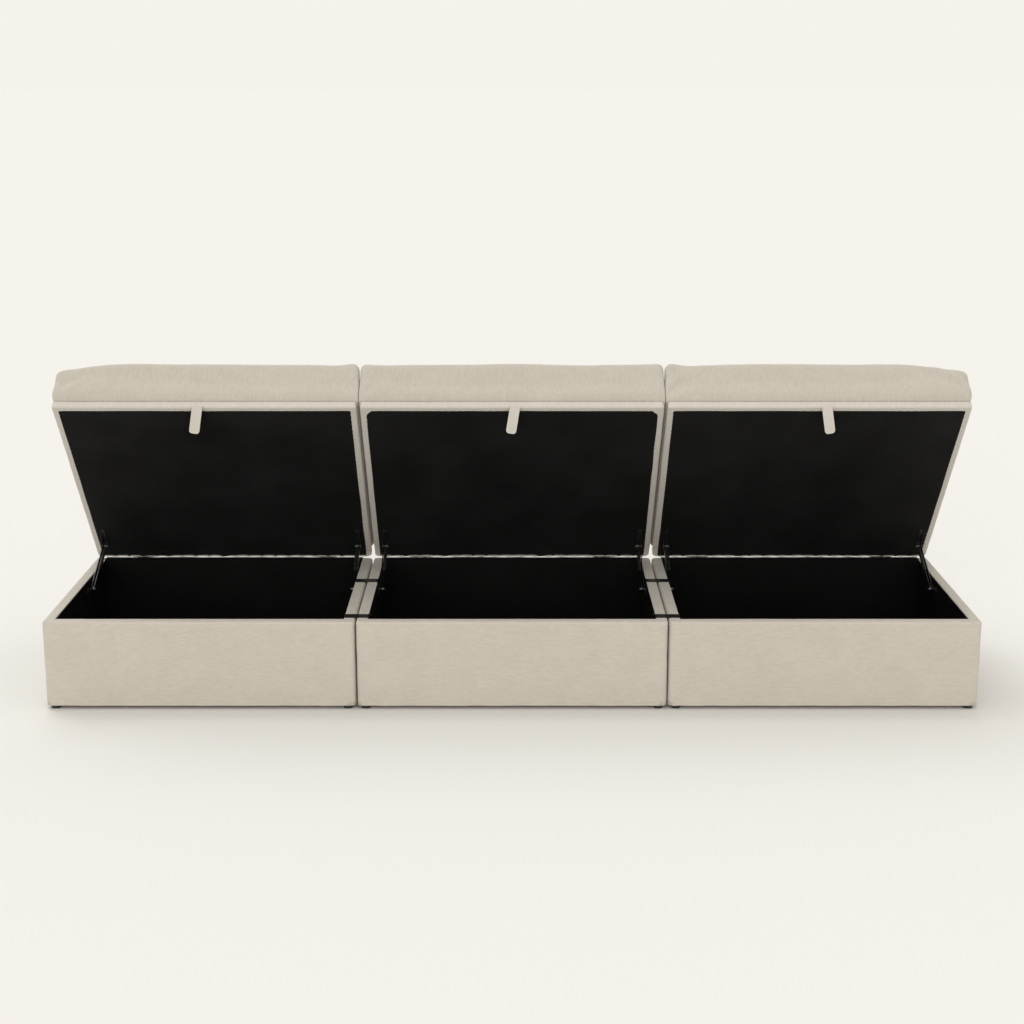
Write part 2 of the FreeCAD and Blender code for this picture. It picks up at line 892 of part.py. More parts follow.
def make_pull_tab(module):
    """A fabric loop sewn flat that hangs from the lid's lower front edge."""
    body = new_body(f"pull_tab_{module}")
    body_box(
        body,
        "Additive",
        ("tab_width", "tab_thickness", "tab_length + tab_rise"),
        ("-tab_width / 2", "-tab_thickness / 2", "-tab_length"),
    )
    round_edges(
        body,
        "tab_corner",
        lambda edge: runs_along(edge, Vector(0, 1, 0)) and edge.CenterOfMass.z < 0,
    )
    place(
        body,
        (f"{centre_of(module)} + tab_shift_{module}", "tab_y", "tab_z"),
        turn=LEANS[module] * Vector(0, 1, 0),
        angle="tab_lean",
    )
    keep(f"pull_tab_{module}", body)


# Lift mechanism
LID_STUD = ("-strut_reach", "lid_underside - strut_drop")


def add_stud(body, side, along, stages):
    """A stud on a plate, in stages of (diameter, sides, near end, far end) from the wall inwards."""
    for diameter, sides, near, far in stages:
        start = (inward(side, near, far), along, "0")
        length = f"{far} - ({near})"
        body_rod(body, "Additive", f"{diameter} / 2", length, start, sides=sides)


def make_base_brackets():
    """Plates on the side walls, each with the stud that a strut and its stay bar turn on."""
    brackets, screws = [], []
    for module in MODULES:
        for side, way in SIDES.items():
            body = new_body(f"base_bracket_{module}_{side}")
            body_box(
                body,
                "Additive",
                ("plate_thickness", "bracket_length", "bracket_height"),
                (inward(side, "0", "plate_thickness"), "-bracket_length / 2", "-bracket_height / 2"),
            )
            eye_end = "strut_offset + eye_thickness / 2 + side_play"
            stages = [
                ("shoulder_diameter", SLENDER, "plate_thickness", "bar_offset - side_play"),
                ("stud_diameter", SLENDER, "plate_thickness", eye_end),
                ("nut_diameter", HEXAGON, eye_end, f"{eye_end} + lock_nut_thickness"),
            ]
            add_stud(body, side, "0", stages)
            for hole in (-1, 1):
                hole_low = inward(side, "0", "plate_thickness")
                screw_hole(body, "plate_thickness", (hole_low, f"{hole} * bracket_holes / 2", "0"))
                thing = screw(f"bracket_screw_{module}_{side}_{hole + 1}")
                spot = (
                    f"{wall_face(module, side)} + {way} * (plate_thickness + screw_head_height)",
                    f"stud_y + {hole} * bracket_holes / 2",
                    "stud_z",
                )
                screws.append(aim(thing, -way * X_AXIS, spot))
            brackets.append(place(body, (wall_face(module, side), "stud_y", "stud_z")))
    group("strut_base_brackets", brackets)
    return screws


def make_lid_brackets(module):
    """Angle brackets under the lid: a leaf on the cloth and an ear down to the strut's top stud."""
    brackets, screws = [], []
    stud_y, stud_z = LID_STUD
    top = "lid_underside - lid_cloth"
    rear = "-strut_reach + lid_leaf_behind"
    for side in SIDES:
        body = new_body(f"lid_bracket_{module}_{side}")
        ear_low = inward(side, "ear_offset", "ear_offset + plate_thickness")
        pad = padded_outline(
            body,
            "YZ_Plane",
            [
                (rear, top),
                (f"{stud_y} + ear_width / 2", stud_z),
                (f"{stud_y} + ear_width / 4", f"{stud_z} - ear_width / 2"),
                (f"{stud_y} - ear_width / 4", f"{stud_z} - ear_width / 2"),
                (f"{stud_y} - ear_width / 2", stud_z),
                (f"{stud_y} - ear_width / 2 - ear_taper", f"{top} - ear_tail"),
                (f"{rear} - lid_leaf_length", f"{top} - ear_tail"),
                (f"{rear} - lid_leaf_length", top),
            ],
            "plate_thickness",
        )
        bind(pad.Profile[0], {".AttachmentOffset.Base.z": ear_low})
        leaf_low = inward(side, "ear_offset", "ear_offset + lid_leaf_width")
        body_box(
            body,
            "Additive",
            ("lid_leaf_width", "lid_leaf_length", "plate_thickness"),
            (leaf_low, f"{rear} - lid_leaf_length", f"{top} - plate_thickness"),
        )
        rivet_low = inward(side, "side_play", "ear_offset")
        rivet = (rivet_low, stud_y, stud_z)
        length = "ear_offset - side_play"
        body_rod(body, "Additive", "rivet_diameter / 2", length, rivet, sides=SLENDER)
        middle = f"{rear} - lid_leaf_length / 2"
        across = "ear_offset + plate_thickness + (lid_leaf_width - plate_thickness) / 2"
        for hole in (-1, 1):
            along = f"{middle} + {hole} * lid_leaf_holes / 2"
            spot = (f"{SIDES[side]} * ({across})", along, f"{top} - plate_thickness")
            screw_hole(body, "plate_thickness", spot, Z_AXIS)
            thing = screw(f"lid_screw_{module}_{side}_{hole + 1}")
            wall = f"-{SIDES[side]} * (module_width / 2 - wall)"
            low = f"{spot[2]} - screw_head_height"
            screws.append(place(thing, (f"{wall} + {spot[0]}", along, low)))
        brackets.append(place(body, (f"-{SIDES[side]} * (module_width / 2 - wall)", "0", "0")))
    put_on_lid(group(f"lid_strut_brackets_{module}", brackets), module)
    put_on_lid(group(f"lid_screws_{module}", screws), module)


def put_on_strut(body, module, side):
    """Strut pieces are drawn along +Y from the base stud, then turned to the open strut's angle."""
    spot = (wall_face(module, side), "stud_y", "stud_z")
    return place(body, spot, turn=X_AXIS, angle="strut_angle")


def add_eye(body, side, at):
    """The end fitting of a strut: an eye about a stud, with its hole."""
    near = "strut_offset - eye_thickness / 2"
    far = "strut_offset + eye_thickness / 2"
    start = (inward(side, near, far), at, "0")
    body_rod(body, "Additive", "eye_diameter / 2", "eye_thickness", start, sides=SLENDER)
    hole = "stud_diameter / 2 + stud_play"
    body_rod(body, "Subtractive", hole, "eye_thickness", start, sides=SLENDER)


def make_rod(module, side):
    """The thin rod of a gas strut, with its eye on the base stud."""
    along = Vector(0, 1, 0)
    across = f"{SIDES[side]} * strut_offset"
    tip = "strut_length - socket_length - tube_length + rod_grip"
    foot = "eye_diameter / 2 - stud_play"
    body = new_body(f"gas_rod_{module}_{side}")
    add_eye(body, side, "0")
    socket = ("socket_diameter / 2", f"socket_length - ({foot})")
    body_rod(body, "Additive", *socket, (across, foot, "0"), along, HEXAGON)
    body_rod(body, "Additive", "rod_diameter / 2", f"{tip} - ({foot})", (across, foot, "0"), along)
    keep(f"gas_rod_{module}_{side}", put_on_strut(body, module, side))


def make_cylinder(module, side):
    """The tube of a gas strut, bored for its rod, with its eye on the lid's stud."""
    along = Vector(0, 1, 0)
    across = f"{SIDES[side]} * strut_offset"
    neck = "strut_length - socket_length"
    mouth = f"{neck} - tube_length"
    head = "strut_length - eye_diameter / 2 + stud_play"
    body = new_body(f"gas_cylinder_{module}_{side}")
    add_eye(body, side, "strut_length")
    body_rod(body, "Additive", "tube_diameter / 2", "tube_length", (across, mouth, "0"), along)
    socket = ("socket_diameter / 2", f"{head} - ({neck})")
    body_rod(body, "Additive", *socket, (across, neck, "0"), along, HEXAGON)
    bore = "rod_grip + strut_stroke + 2 * stud_diameter"
    body_rod(
        body,
        "Subtractive",
        "rod_diameter / 2 + rod_play",
        bore,
        (across, mouth, "0"),
        along,
        SLENDER,
    )
    keep(f"gas_cylinder_{module}_{side}", put_on_strut(body, module, side))


def make_stay_bar(module, side):
    """The flat bar beside a strut: it slides over the base stud and carries the top stud."""
    body = new_body(f"stay_bar_{module}_{side}")
    low = inward(side, "bar_offset", "bar_offset + plate_thickness")
    half = "bar_width / 2"
    slot = "stud_diameter / 2 + slot_play"
    body_box(
        body,
        "Additive",
        ("plate_thickness", "strut_length", "bar_width"),
        (low, "0", f"-{half}"),
    )
    for end in ("0", "strut_length"):
        body_rod(body, "Additive", half, "plate_thickness", (low, end, "0"), sides=SLENDER)
    body_box(
        body,
        "Subtractive",
        ("plate_thickness", "strut_stroke", f"2 * ({slot})"),
        (low, "0", f"-({slot})"),
    )
    for end in ("0", "strut_stroke"):
        body_rod(body, "Subtractive", slot, "plate_thickness", (low, end, "0"), sides=SLENDER)
    eye_end = "strut_offset + eye_thickness / 2 + side_play"
    stages = [
        ("stud_diameter", SLENDER, "bar_offset + plate_thickness", eye_end),
        ("nut_diameter", HEXAGON, eye_end, f"{eye_end} + lock_nut_thickness"),
    ]
    add_stud(body, side, "strut_length", stages)
    keep(f"stay_bar_{module}_{side}", put_on_strut(body, module, side))


make_boards()
make_floors()
make_feet()
make_clips()
group("base_fasteners", make_base_brackets() + clip_screws() + connector_bolts())
make_hinges()
for module in MODULES:
    make_base_cover(module)
    make_storage_lining(module)
    make_lid_deck(module)
    make_lid_cover(module)
    make_lid_lining(module)
    make_lid_brackets(module)
    make_cushion(module)
    make_pull_tab(module)
    for side in SIDES:
        make_rod(module, side)
        make_cylinder(module, side)
        make_stay_bar(module, side)
doc.recompute()

# Every object has to be sound before anything is written
for thing in doc.Objects:
    if "Invalid" in thing.State or "Error" in thing.State:
        raise RuntimeError(f"{thing.Label} did not build")
for thing in SUB_PARTS:
    if thing.Shape.isNull() or not thing.Shape.isValid():
        raise RuntimeError(f"{thing.Label} has no sound shape")

os.makedirs("parts", exist_ok=True)
for thing in SUB_PARTS:
    thing.Shape.exportStep(f"parts/{thing.Label}.step")
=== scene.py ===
"""Looks of a run of three storage seats whose cushioned lids stand open.

Cream woven covers, black cloth linings, stuffed cushions and the steel of the lift mechanism are built here
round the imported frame. Metres. X runs along the seats, Y to the back, Z up from the floor.
"""
import json
import math

import bmesh
import bpy
from mathutils import Matrix, Vector, noise


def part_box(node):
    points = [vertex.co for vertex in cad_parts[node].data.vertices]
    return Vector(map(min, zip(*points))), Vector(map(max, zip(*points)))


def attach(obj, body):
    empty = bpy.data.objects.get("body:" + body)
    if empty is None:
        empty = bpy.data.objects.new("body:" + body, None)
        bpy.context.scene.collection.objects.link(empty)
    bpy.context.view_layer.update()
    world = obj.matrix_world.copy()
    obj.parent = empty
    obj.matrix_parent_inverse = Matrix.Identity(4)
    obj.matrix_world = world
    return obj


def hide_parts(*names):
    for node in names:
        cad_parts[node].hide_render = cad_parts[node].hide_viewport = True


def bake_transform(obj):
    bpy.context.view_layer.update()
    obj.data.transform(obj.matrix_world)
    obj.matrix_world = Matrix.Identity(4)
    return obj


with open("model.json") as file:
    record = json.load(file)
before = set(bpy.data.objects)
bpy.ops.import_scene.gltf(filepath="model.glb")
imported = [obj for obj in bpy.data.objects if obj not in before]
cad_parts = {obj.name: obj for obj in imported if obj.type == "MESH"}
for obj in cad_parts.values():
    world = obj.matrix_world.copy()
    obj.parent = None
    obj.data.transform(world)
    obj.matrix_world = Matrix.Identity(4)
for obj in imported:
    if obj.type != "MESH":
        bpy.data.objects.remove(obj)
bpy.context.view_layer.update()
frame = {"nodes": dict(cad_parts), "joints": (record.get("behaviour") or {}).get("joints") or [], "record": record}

MM = 0.001
MODULES = ("left", "middle", "right")
SIDES = ("l", "r")
JOINTS = {joint["name"]: joint for joint in frame["joints"]}
X_AXIS, Y_AXIS, Z_AXIS = Vector((1, 0, 0)), Vector((0, 1, 0)), Vector((0, 0, 1))
STILL = Matrix.Identity(4)

# cloth
CLOTH_CELL = 20 * MM
BAND_ROUND = 4.5 * MM
BAND_CORNER = 10 * MM
BAND_CLOTH = 2.6 * MM
TOP_LAP = 70 * MM
LAP_CLOTH = 1.2 * MM
TURN_UNDER = 60 * MM
STAPLE_PITCH = 24 * MM
SCALLOP = 2.4 * MM
REAR_SAG = 1.0 * MM
BACK_LAP = 14 * MM
REAR_HANG = 6.8 * MM
CUT_CORNERS = {"left": 3 * MM, "middle": 20 * MM, "right": 3 * MM}
# cushions
CUSHION_VOXEL = 11 * MM
CUSHION_SHRINK = 1 * MM
CUSHION_FRONT_CORNER = 20 * MM
CUSHION_REAR_CORNER = 55 * MM
CUSHION_ROUND = 32 * MM
CUSHION_CAP = 16 * MM
CUSHION_PROUD = 16 * MM
CUSHION_SPREAD = 1.026
CUSHION_CROWN = 15 * MM
CUSHION_FRAMES = 20
CUSHION_PRESSURE = 9
TUCK = 9 * MM
TUCK_HEIGHT = 45 * MM
CREASE = 3.2 * MM
OUTER_SLOPE = 260 * MM
OUTER_DROP = 30 * MM

# the lift mechanism's small pieces
EYE = 16 * MM
EYE_DEPTH = 10 * MM
EYE_HOLE = 6.2 * MM
STUD = 6 * MM
STUD_REACH = 18.8 * MM
STRUT_OFFSET = 13.5 * MM
FERRULE = 9 * MM
FERRULE_LENGTH = 18 * MM
TUBE = 12 * MM
TUBE_LENGTH = 125 * MM
ROD = 6 * MM
ROD_GRIP = 30 * MM
ROD_BORE = 6.4 * MM
BAR_OFFSET = 4 * MM
BAR_WIDTH = 14 * MM
BAR_SLOT = 6.4 * MM
SHOULDER = 10 * MM
PLATE = 2 * MM
LOCK_NUT = 11 * MM
LOCK_NUT_DEPTH = 3 * MM
EAR_WIDTH = 22 * MM
EAR_TAPER = 40 * MM
EAR_TAIL = 8 * MM
EAR_BEHIND = 15 * MM
LEAF_WIDTH = 18 * MM
RIVET = 11 * MM
# fasteners, hinges, clips and glides
SCREW_HEAD = 8 * MM
SCREW_HEAD_DEPTH = 1.6 * MM
BOLT_HEAD_DEPTH = 3.5 * MM
CAP = 9 * MM
CAP_DEPTH = 5 * MM
KNUCKLES = 5
KNUCKLE_PLAY = 0.3 * MM
HINGE_BARREL = 7 * MM
HINGE_PIN = 4 * MM
HINGE_LEAF = 1.5 * MM
HINGE_SCREW = 6 * MM
CLIP_STEEL = 1.5 * MM
GLIDE = 30 * MM
GLIDE_HEIGHT = 12 * MM
TAB_LEAN = 9
TAB_CORNER = 10 * MM
STITCH_LENGTH = 3 * MM
STITCH_PITCH = 4.2 * MM
STITCH_INSET = 3.5 * MM
STAPLE_CROWN = 10 * MM
STAPLE_WIRE = 1.1 * MM


# Places
def lid_frame(module):
    """Where a closed lid's own axes lie once it stands open: along its hinge, its depth and its height."""
    hinge = JOINTS[f"lid_hinge_{module}"]
    opening = math.radians(hinge["range_deg"][1])
    return Matrix.Translation(hinge["pos_m"]) @ Matrix.Rotation(-opening, 4, "X")


OPENING = math.radians(JOINTS["lid_hinge_middle"]["range_deg"][1])


def copy_of(node, into=STILL):
    """A merged copy of a node's mesh, seen from a frame of its own."""
    bm = bmesh.new()
    bm.from_mesh(frame["nodes"][node].data)
    bmesh.ops.remove_doubles(bm, verts=bm.verts, dist=0.01 * MM)
    bmesh.ops.transform(bm, matrix=into.inverted(), verts=bm.verts)
    return bm


def corners_of(verts):
    low = Vector(min(v.co[i] for v in verts) for i in range(3))
    high = Vector(max(v.co[i] for v in verts) for i in range(3))
    return low, high


def solids(node, into=STILL):
    """The lowest and highest corner of each separate solid in a node."""
    bm = copy_of(node, into)
    left, found = set(bm.verts), []
    while left:
        start = left.pop()
        solid, edge = {start}, [start]
        while edge:
            for link in edge.pop().link_edges:
                for vert in link.verts:
                    if vert in left:
                        left.remove(vert)
                        solid.add(vert)
                        edge.append(vert)
        found.append(corners_of(solid))
    bm.free()
    return sorted(found, key=lambda pair: tuple(round(x, 4) for x in pair[0]))


def node_box(node, into=STILL):
    bm = copy_of(node, into)
    box = corners_of(bm.verts)
    bm.free()
    return box


# Materials
def srgb(red, green, blue):
    """A colour as seen, in 0 to 255, to the shader's own linear values."""
    def linear(value):
        share = value / 255
        return share / 12.92 if share <= 0.04045 else ((share + 0.055) / 1.055) ** 2.4

    return (linear(red), linear(green), linear(blue), 1)


def dull(level, blue=None):
    """A linear grey, a little bluer where blue is given."""
    return (level, level, blue or level, 1)


class Nodes:
    """A new material's nodes, made one by one and linked by socket."""

    def __init__(self, name):
        self.material = bpy.data.materials.new(name)
        self.material.use_nodes = True
        self.tree = self.material.node_tree
        self.shader = self.tree.nodes["Principled BSDF"]
        self.place = self.add("ShaderNodeTexCoord").outputs["Object"]

    def add(self, kind, inputs=None, **settings):
        made = self.tree.nodes.new(kind)
        for key, value in settings.items():
            setattr(made, key, value)
        for key, value in (inputs or {}).items():
            self.put(made.inputs[key], value)
        return made

    def put(self, socket, value):
        if isinstance(value, bpy.types.NodeSocket):
            self.tree.links.new(value, socket)
        else:
            socket.default_value = value

    def mapped(self, scale=(1, 1, 1), turn=(0, 0, 0)):
        mapping = self.add("ShaderNodeMapping", {"Vector": self.place, "Rotation": turn, "Scale": scale})
        return mapping.outputs["Vector"]

    def speckle(self, scale, detail=2, vector=None, roughness=0.5):
        inputs = {"Vector": vector or self.place, "Scale": scale, "Detail": detail, "Roughness": roughness}
        return self.add("ShaderNodeTexNoise", inputs).outputs["Fac"]

    def sums(self, operation, first, second):
        return self.add("ShaderNodeMath", {0: first, 1: second}, operation=operation).outputs[0]

    def vector(self, operation, inputs):
        return self.add("ShaderNodeVectorMath", inputs, operation=operation).outputs

    def blended(self, first, second, share):
        """Two values added, the first by its share and the second by what is left."""
        near = self.sums("MULTIPLY", first, share)
        return self.sums("ADD", near, self.sums("MULTIPLY", second, round(1 - share, 6)))

    def between(self, share, low, high):
        """A colour from low to high, by a share from 0 to 1."""
        mix = self.add("ShaderNodeMix", data_type="RGBA")
        self.put(mix.inputs[0], share)
        self.put(mix.inputs[6], low)
        self.put(mix.inputs[7], high)
        return mix.outputs[2]

    def ranged(self, value, low, high, to_low=0.0, to_high=1.0):
        inputs = {"Value": value, "From Min": low, "From Max": high, "To Min": to_low, "To Max": to_high}
        return self.add("ShaderNodeMapRange", inputs).outputs["Result"]

    def bump(self, height, depth, strength=1.0, under=None):
        inputs = {"Height": height, "Distance": depth, "Strength": strength}
        if under is not None:
            inputs["Normal"] = under
        return self.add("ShaderNodeBump", inputs).outputs["Normal"]

    def finish(self, **sockets):
        for key, value in sockets.items():
            self.put(self.shader.inputs[key.replace("_", " ")], value)
        return self.material


def woven_cover(name, turn, nap, dark, light):
    """Cream short-pile cloth: a fine plain weave, brushed one way, with pile pressed here and there."""
    n = Nodes(name)
    turned = n.mapped(turn=turn)
    wobble = n.add("ShaderNodeTexNoise", {"Vector": turned, "Scale": 60, "Detail": 1})
    bent = n.vector("SCALE", {0: wobble.outputs["Color"], "Scale": 0.0016})[0]
    moved = n.vector("ADD", {0: turned, 1: bent})[0]
    yarn = n.vector("SCALE", {0: moved, "Scale": 2150})[0]
    waves = n.vector("SINE", {0: yarn})[0]
    weave = n.vector("DOT_PRODUCT", {0: waves, 1: (1, 1, 1)})["Value"]
    weave_share = n.ranged(weave, -2, 2)
    stretched = n.vector("MULTIPLY", {0: turned, 1: nap})[0]
    streaks = n.speckle(1, 3, stretched, 0.6)
    pile = n.speckle(520, 3, turned, 0.7)
    pressed = n.speckle(9, 3, turned)
    shade = n.blended(n.blended(streaks, pile, 0.5), pressed, 0.88)
    tone = n.between(n.ranged(shade, 0.3, 0.7), dark, light)
    tone = n.between(n.ranged(weave_share, 0, 0.5, 0.12, 0), tone, srgb(146, 137, 123))
    normal = n.bump(n.sums("ADD", pile, n.sums("MULTIPLY", weave_share, 0.7)), 0.5 * MM, 0.5)
    normal = n.bump(streaks, 0.5 * MM, 0.35, normal)
    return n.finish(
        Base_Color=tone, Roughness=0.92, Normal=normal, Specular_IOR_Level=0.2, Sheen_Weight=0.4,
        Sheen_Roughness=0.35,
    )


def black_cloth(name, depth, turn=(0, 0, 0)):
    """Black bonded cloth, pressed with a fine grid of dots; depth divides its greys, so above 1 the cloth is
    painted darker as shade.
    """
    n = Nodes(name)
    turned = n.mapped(turn=turn)
    grid = n.vector("SCALE", {0: turned, "Scale": 2600})[0]
    waves = n.vector("SINE", {0: grid})[0]
    dots = n.vector("DOT_PRODUCT", {0: waves, 1: (1, 1, 1)})["Value"]
    fibres = n.speckle(340, 4, turned, 0.65)
    patches = n.speckle(5, 2, turned)
    share = n.blended(fibres, patches, 0.4)
    greys = (0.0045, 0.0105)
    # dividing by depth paints shade into the cloth's greys wherever depth is above 1
    dark, light = (tuple(level / depth for level in (grey, grey, grey * 1.04)) + (1,) for grey in greys)
    tone = n.between(n.ranged(share, 0.35, 0.65), dark, light)
    height = n.sums("ADD", n.ranged(dots, 0.6, 2.2), fibres)
    normal = n.bump(height, 0.3 * MM, 0.5)
    return n.finish(Base_Color=tone, Roughness=0.85, Normal=normal, Specular_IOR_Level=0.12)


def sawn_timber():
    """Bare softwood, its grain along the boards."""
    n = Nodes("sawn timber")
    along = n.mapped(scale=(3, 3, 60))
    grain = n.speckle(3, 5, along, 0.6)
    lines = n.add("ShaderNodeTexWave", {"Vector": along, "Scale": 0.9, "Distortion": 5.0, "Detail": 3.0})
    share = n.blended(grain, lines.outputs["Fac"], 0.5)
    tone = n.between(n.ranged(share, 0.2, 0.8), srgb(170, 128, 82), srgb(214, 178, 128))
    return n.finish(Base_Color=tone, Roughness=0.75, Normal=n.bump(grain, 0.6 * MM, 0.4))


def moulded_plastic():
    """Black plastic with a fine moulded grain."""
    n = Nodes("glide plastic")
    grain = n.speckle(900, 2)
    tone = n.between(grain, dull(0.008), dull(0.016))
    rough = n.ranged(grain, 0.3, 0.7, 0.4, 0.55)
    return n.finish(Base_Color=tone, Roughness=rough, Normal=n.bump(grain, 0.1 * MM, 0.4))


def painted_steel(name, dark, light, roughness):
    """Steel under satin paint, with a faint orange-peel surface."""
    n = Nodes(name)
    peel = n.speckle(700, 2)
    wear = n.speckle(60, 4)
    tone = n.between(n.ranged(wear, 0.35, 0.7), dark, light)
    rough = n.ranged(wear, 0.3, 0.7, roughness - 0.06, roughness + 0.1)
    normal = n.bump(peel, 0.08 * MM, 0.35)
    return n.finish(Base_Color=tone, Roughness=rough, Normal=normal, Specular_IOR_Level=0.5)


def plated_steel(name, dark, light, roughness, along):
    """Plated or polished steel, brushed along its length."""
    n = Nodes(name)
    brush = n.speckle(1, 3, n.mapped(scale=along), 0.6)
    spangle = n.speckle(130, 3)
    tone = n.between(n.ranged(spangle, 0.3, 0.7), dark, light)
    rough = n.ranged(brush, 0.3, 0.7, roughness - 0.05, roughness + 0.08)
    return n.finish(Base_Color=tone, Metallic=1.0, Roughness=rough, Normal=n.bump(brush, 0.05 * MM, 0.3))


LID_TURN = (OPENING, 0, 0)
CREAM = srgb(178, 171, 161), srgb(197, 191, 182)
# the same cover cloth, painted lighter on the lids' bands and the pull tabs as painted light
PAINTED_LIGHT_CREAM = srgb(183, 178, 170), srgb(200, 196, 189)
# the same cover cloth, painted darker on the cushions as painted shade
CUSHION_PAINTED_SHADE_CREAM = srgb(168, 162, 152), srgb(188, 183, 174)
base_cloth = woven_cover("cover cloth of the boxes", (0, 0, 0), (40, 40, 190), *CREAM)
cushion_cloth_painted_shade = woven_cover("cover cloth of the cushions with painted shade", LID_TURN, (190, 60, 40), *CUSHION_PAINTED_SHADE_CREAM)
band_cloth_painted_light = woven_cover("cover cloth of the lids with painted light", LID_TURN, (190, 60, 40), *PAINTED_LIGHT_CREAM)
tab_cloth_painted_light = woven_cover("cloth of the pull tabs with painted light", (0, 0, 0), (190, 60, 40), *PAINTED_LIGHT_CREAM)
# the boxes' lining is the lids' black cloth painted 3.5 times darker, as painted shade inside the boxes
box_black_painted_shade = black_cloth("black lining of the boxes with painted shade", 3.5)
lid_black = black_cloth("black lining of the lids", 1.0, LID_TURN)
timber = sawn_timber()
plastic = moulded_plastic()
ALONG_STRUT = (300, 60, 300)
black_paint = painted_steel("black painted steel", dull(0.006, 0.007), dull(0.014, 0.015), 0.38)
tube_paint = painted_steel("strut tube paint", dull(0.010, 0.011), dull(0.020, 0.021), 0.3)
zinc = plated_steel("zinc plate", dull(0.30, 0.31), dull(0.42, 0.41), 0.4, (300, 60, 60))
bar_zinc = plated_steel("stay bar steel", dull(0.05, 0.052), dull(0.11, 0.112), 0.36, ALONG_STRUT)
rod_black = plated_steel("black polished rod", dull(0.07, 0.073), dull(0.12, 0.122), 0.26, ALONG_STRUT)
black_zinc = plated_steel("black zinc", dull(0.03, 0.031), dull(0.06, 0.061), 0.4, ALONG_STRUT)
sewing = Nodes("sewing thread")
thread_tone = sewing.between(sewing.speckle(1500, 2), srgb(214, 208, 194), srgb(232, 227, 214))
thread = sewing.finish(Base_Color=thread_tone, Roughness=0.8, Sheen_Weight=0.2)

FINISH = {
    "cover_fabric": base_cloth,
    "lining_cloth": box_black_painted_shade,
    "timber": timber,
    "glide_plastic": plastic,
    "black_steel": black_paint,
    "zinc_steel": zinc,
    "bar_steel": bar_zinc,
    "strut_rod_steel": rod_black,
    "strut_tube_steel": tube_paint,
}
for part in frame["record"]["subparts"]:
    data = frame["nodes"][part["node"]].data
    data.materials.clear()
    data.materials.append(FINISH[part["material_slot"]])


# Pieces
def new_piece(name, bm, material, body, stands_for=(), into=STILL, flat_angle=40, rides=True):
    """A finished mesh as an object at the origin, riding on its body."""
    bmesh.ops.transform(bm, matrix=into, verts=bm.verts)
    mesh = bpy.data.meshes.new(name)
    bm.to_mesh(mesh)
    bm.free()
    mesh.materials.append(material)
    piece = bpy.data.objects.new(name, mesh)
    bpy.context.scene.collection.objects.link(piece)
    mesh.shade_smooth()
    mesh.set_sharp_from_angle(angle=math.radians(flat_angle))
    if rides:
        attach(piece, body)
    if stands_for:
        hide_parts(*stands_for)
    return piece


def box_mesh(low, high):
    """A plain block between two corners, to be shaped further."""
    bm = bmesh.new()
    bmesh.ops.create_cube(bm, size=1)
    bmesh.ops.scale(bm, vec=high - low, verts=bm.verts)
    bmesh.ops.translate(bm, vec=(low + high) / 2, verts=bm.verts)
    return bm


def along(edge, axis):
    return abs((edge.verts[1].co - edge.verts[0].co).normalized().dot(axis)) > 0.999


def edges_along(bm, axis):
    return [edge for edge in bm.edges if along(edge, axis)]


def fade(distance, reach):
    """From 1 at no distance down to 0 at the reach."""
    return max(0.0, 1 - distance / reach)


def wave(x, y, z):
    return noise.noise(Vector((x, y, z)))


def rounded(bm, geometry, radius, steps, affect="EDGES"):
    bmesh.ops.bevel(
        bm, geom=geometry, offset=radius, segments=steps, profile=0.5, affect=affect, material=-1,
        clamp_overlap=True,
    )


def facing(bm, way):
    return [face for face in bm.faces if face.normal.dot(way) > 0.99]


def divided(bm, spot, axis):
    geometry = bm.verts[:] + bm.edges[:] + bm.faces[:]
    bmesh.ops.bisect_plane(bm, geom=geometry, dist=0.01 * MM, plane_co=spot, plane_no=axis)


def sliced(bm, cell):
    """Cuts a mesh by planes across all three axes, so that its faces are small enough to bend."""
    low, high = corners_of(bm.verts)
    for number, axis in enumerate((X_AXIS, Y_AXIS, Z_AXIS)):
        count = max(1, round((high[number] - low[number]) / cell))
        for step in range(1, count):
            place = low + axis * (high[number] - low[number]) * step / count
            divided(bm, place, axis)


def rippled(bm, depth, size, seed, spare=lambda place: 1.0):
    """Moves a mesh in and out along its normals by smooth noise, less where spare says so."""
    bm.normal_update()
    for vert in bm.verts:
        where = vert.co / size + Vector((seed, 0, 0))
        vert.co += vert.normal * depth * noise.noise(where) * spare(vert.co)


# Covers and linings of the boxes
def cleaned(bm):
    """Joins faces that lie in one plane."""
    bmesh.ops.dissolve_limit(bm, angle_limit=math.radians(0.5), verts=bm.verts, edges=bm.edges)


def make_box_cover(module, seed):
    """The cover over a box's boards, with the pull of its staples along the rim."""
    node = f"base_cover_{module}"
    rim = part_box(node)[1].z
    bm = copy_of(node)
    cleaned(bm)
    sliced(bm, CLOTH_CELL)

    def spare(place):
        return min(1.0, max(0.25, (rim - place.z) / (40 * MM)))

    rippled(bm, 0.9 * MM, 70 * MM, seed, spare)
    rippled(bm, 0.5 * MM, 24 * MM, seed + 7, spare)
    new_piece(f"cover_{module}", bm, base_cloth, "base", [node])


def make_box_lining(module, seed):
    node = f"storage_lining_{module}"
    bm = copy_of(node)
    high = corners_of(bm.verts)[1]
    cleaned(bm)
    sliced(bm, CLOTH_CELL)

    def spare(place):
        return min(1.0, max(0.12, (high.z - place.z) / (170 * MM)) ** 1.5)

    rippled(bm, 1.6 * MM, 90 * MM, seed, spare)
    # turned over the back board, its cut edge lies a little unevenly on the rim
    for vert in bm.verts:
        if vert.co.z > high.z - 2 * MM and vert.co.y > high.y - 2 * MM:
            vert.co.y += BACK_LAP * (0.8 + 0.4 * wave(vert.co.x * 20, seed, 0))
    new_piece(f"lining_{module}", bm, box_black_painted_shade, "base", [node])


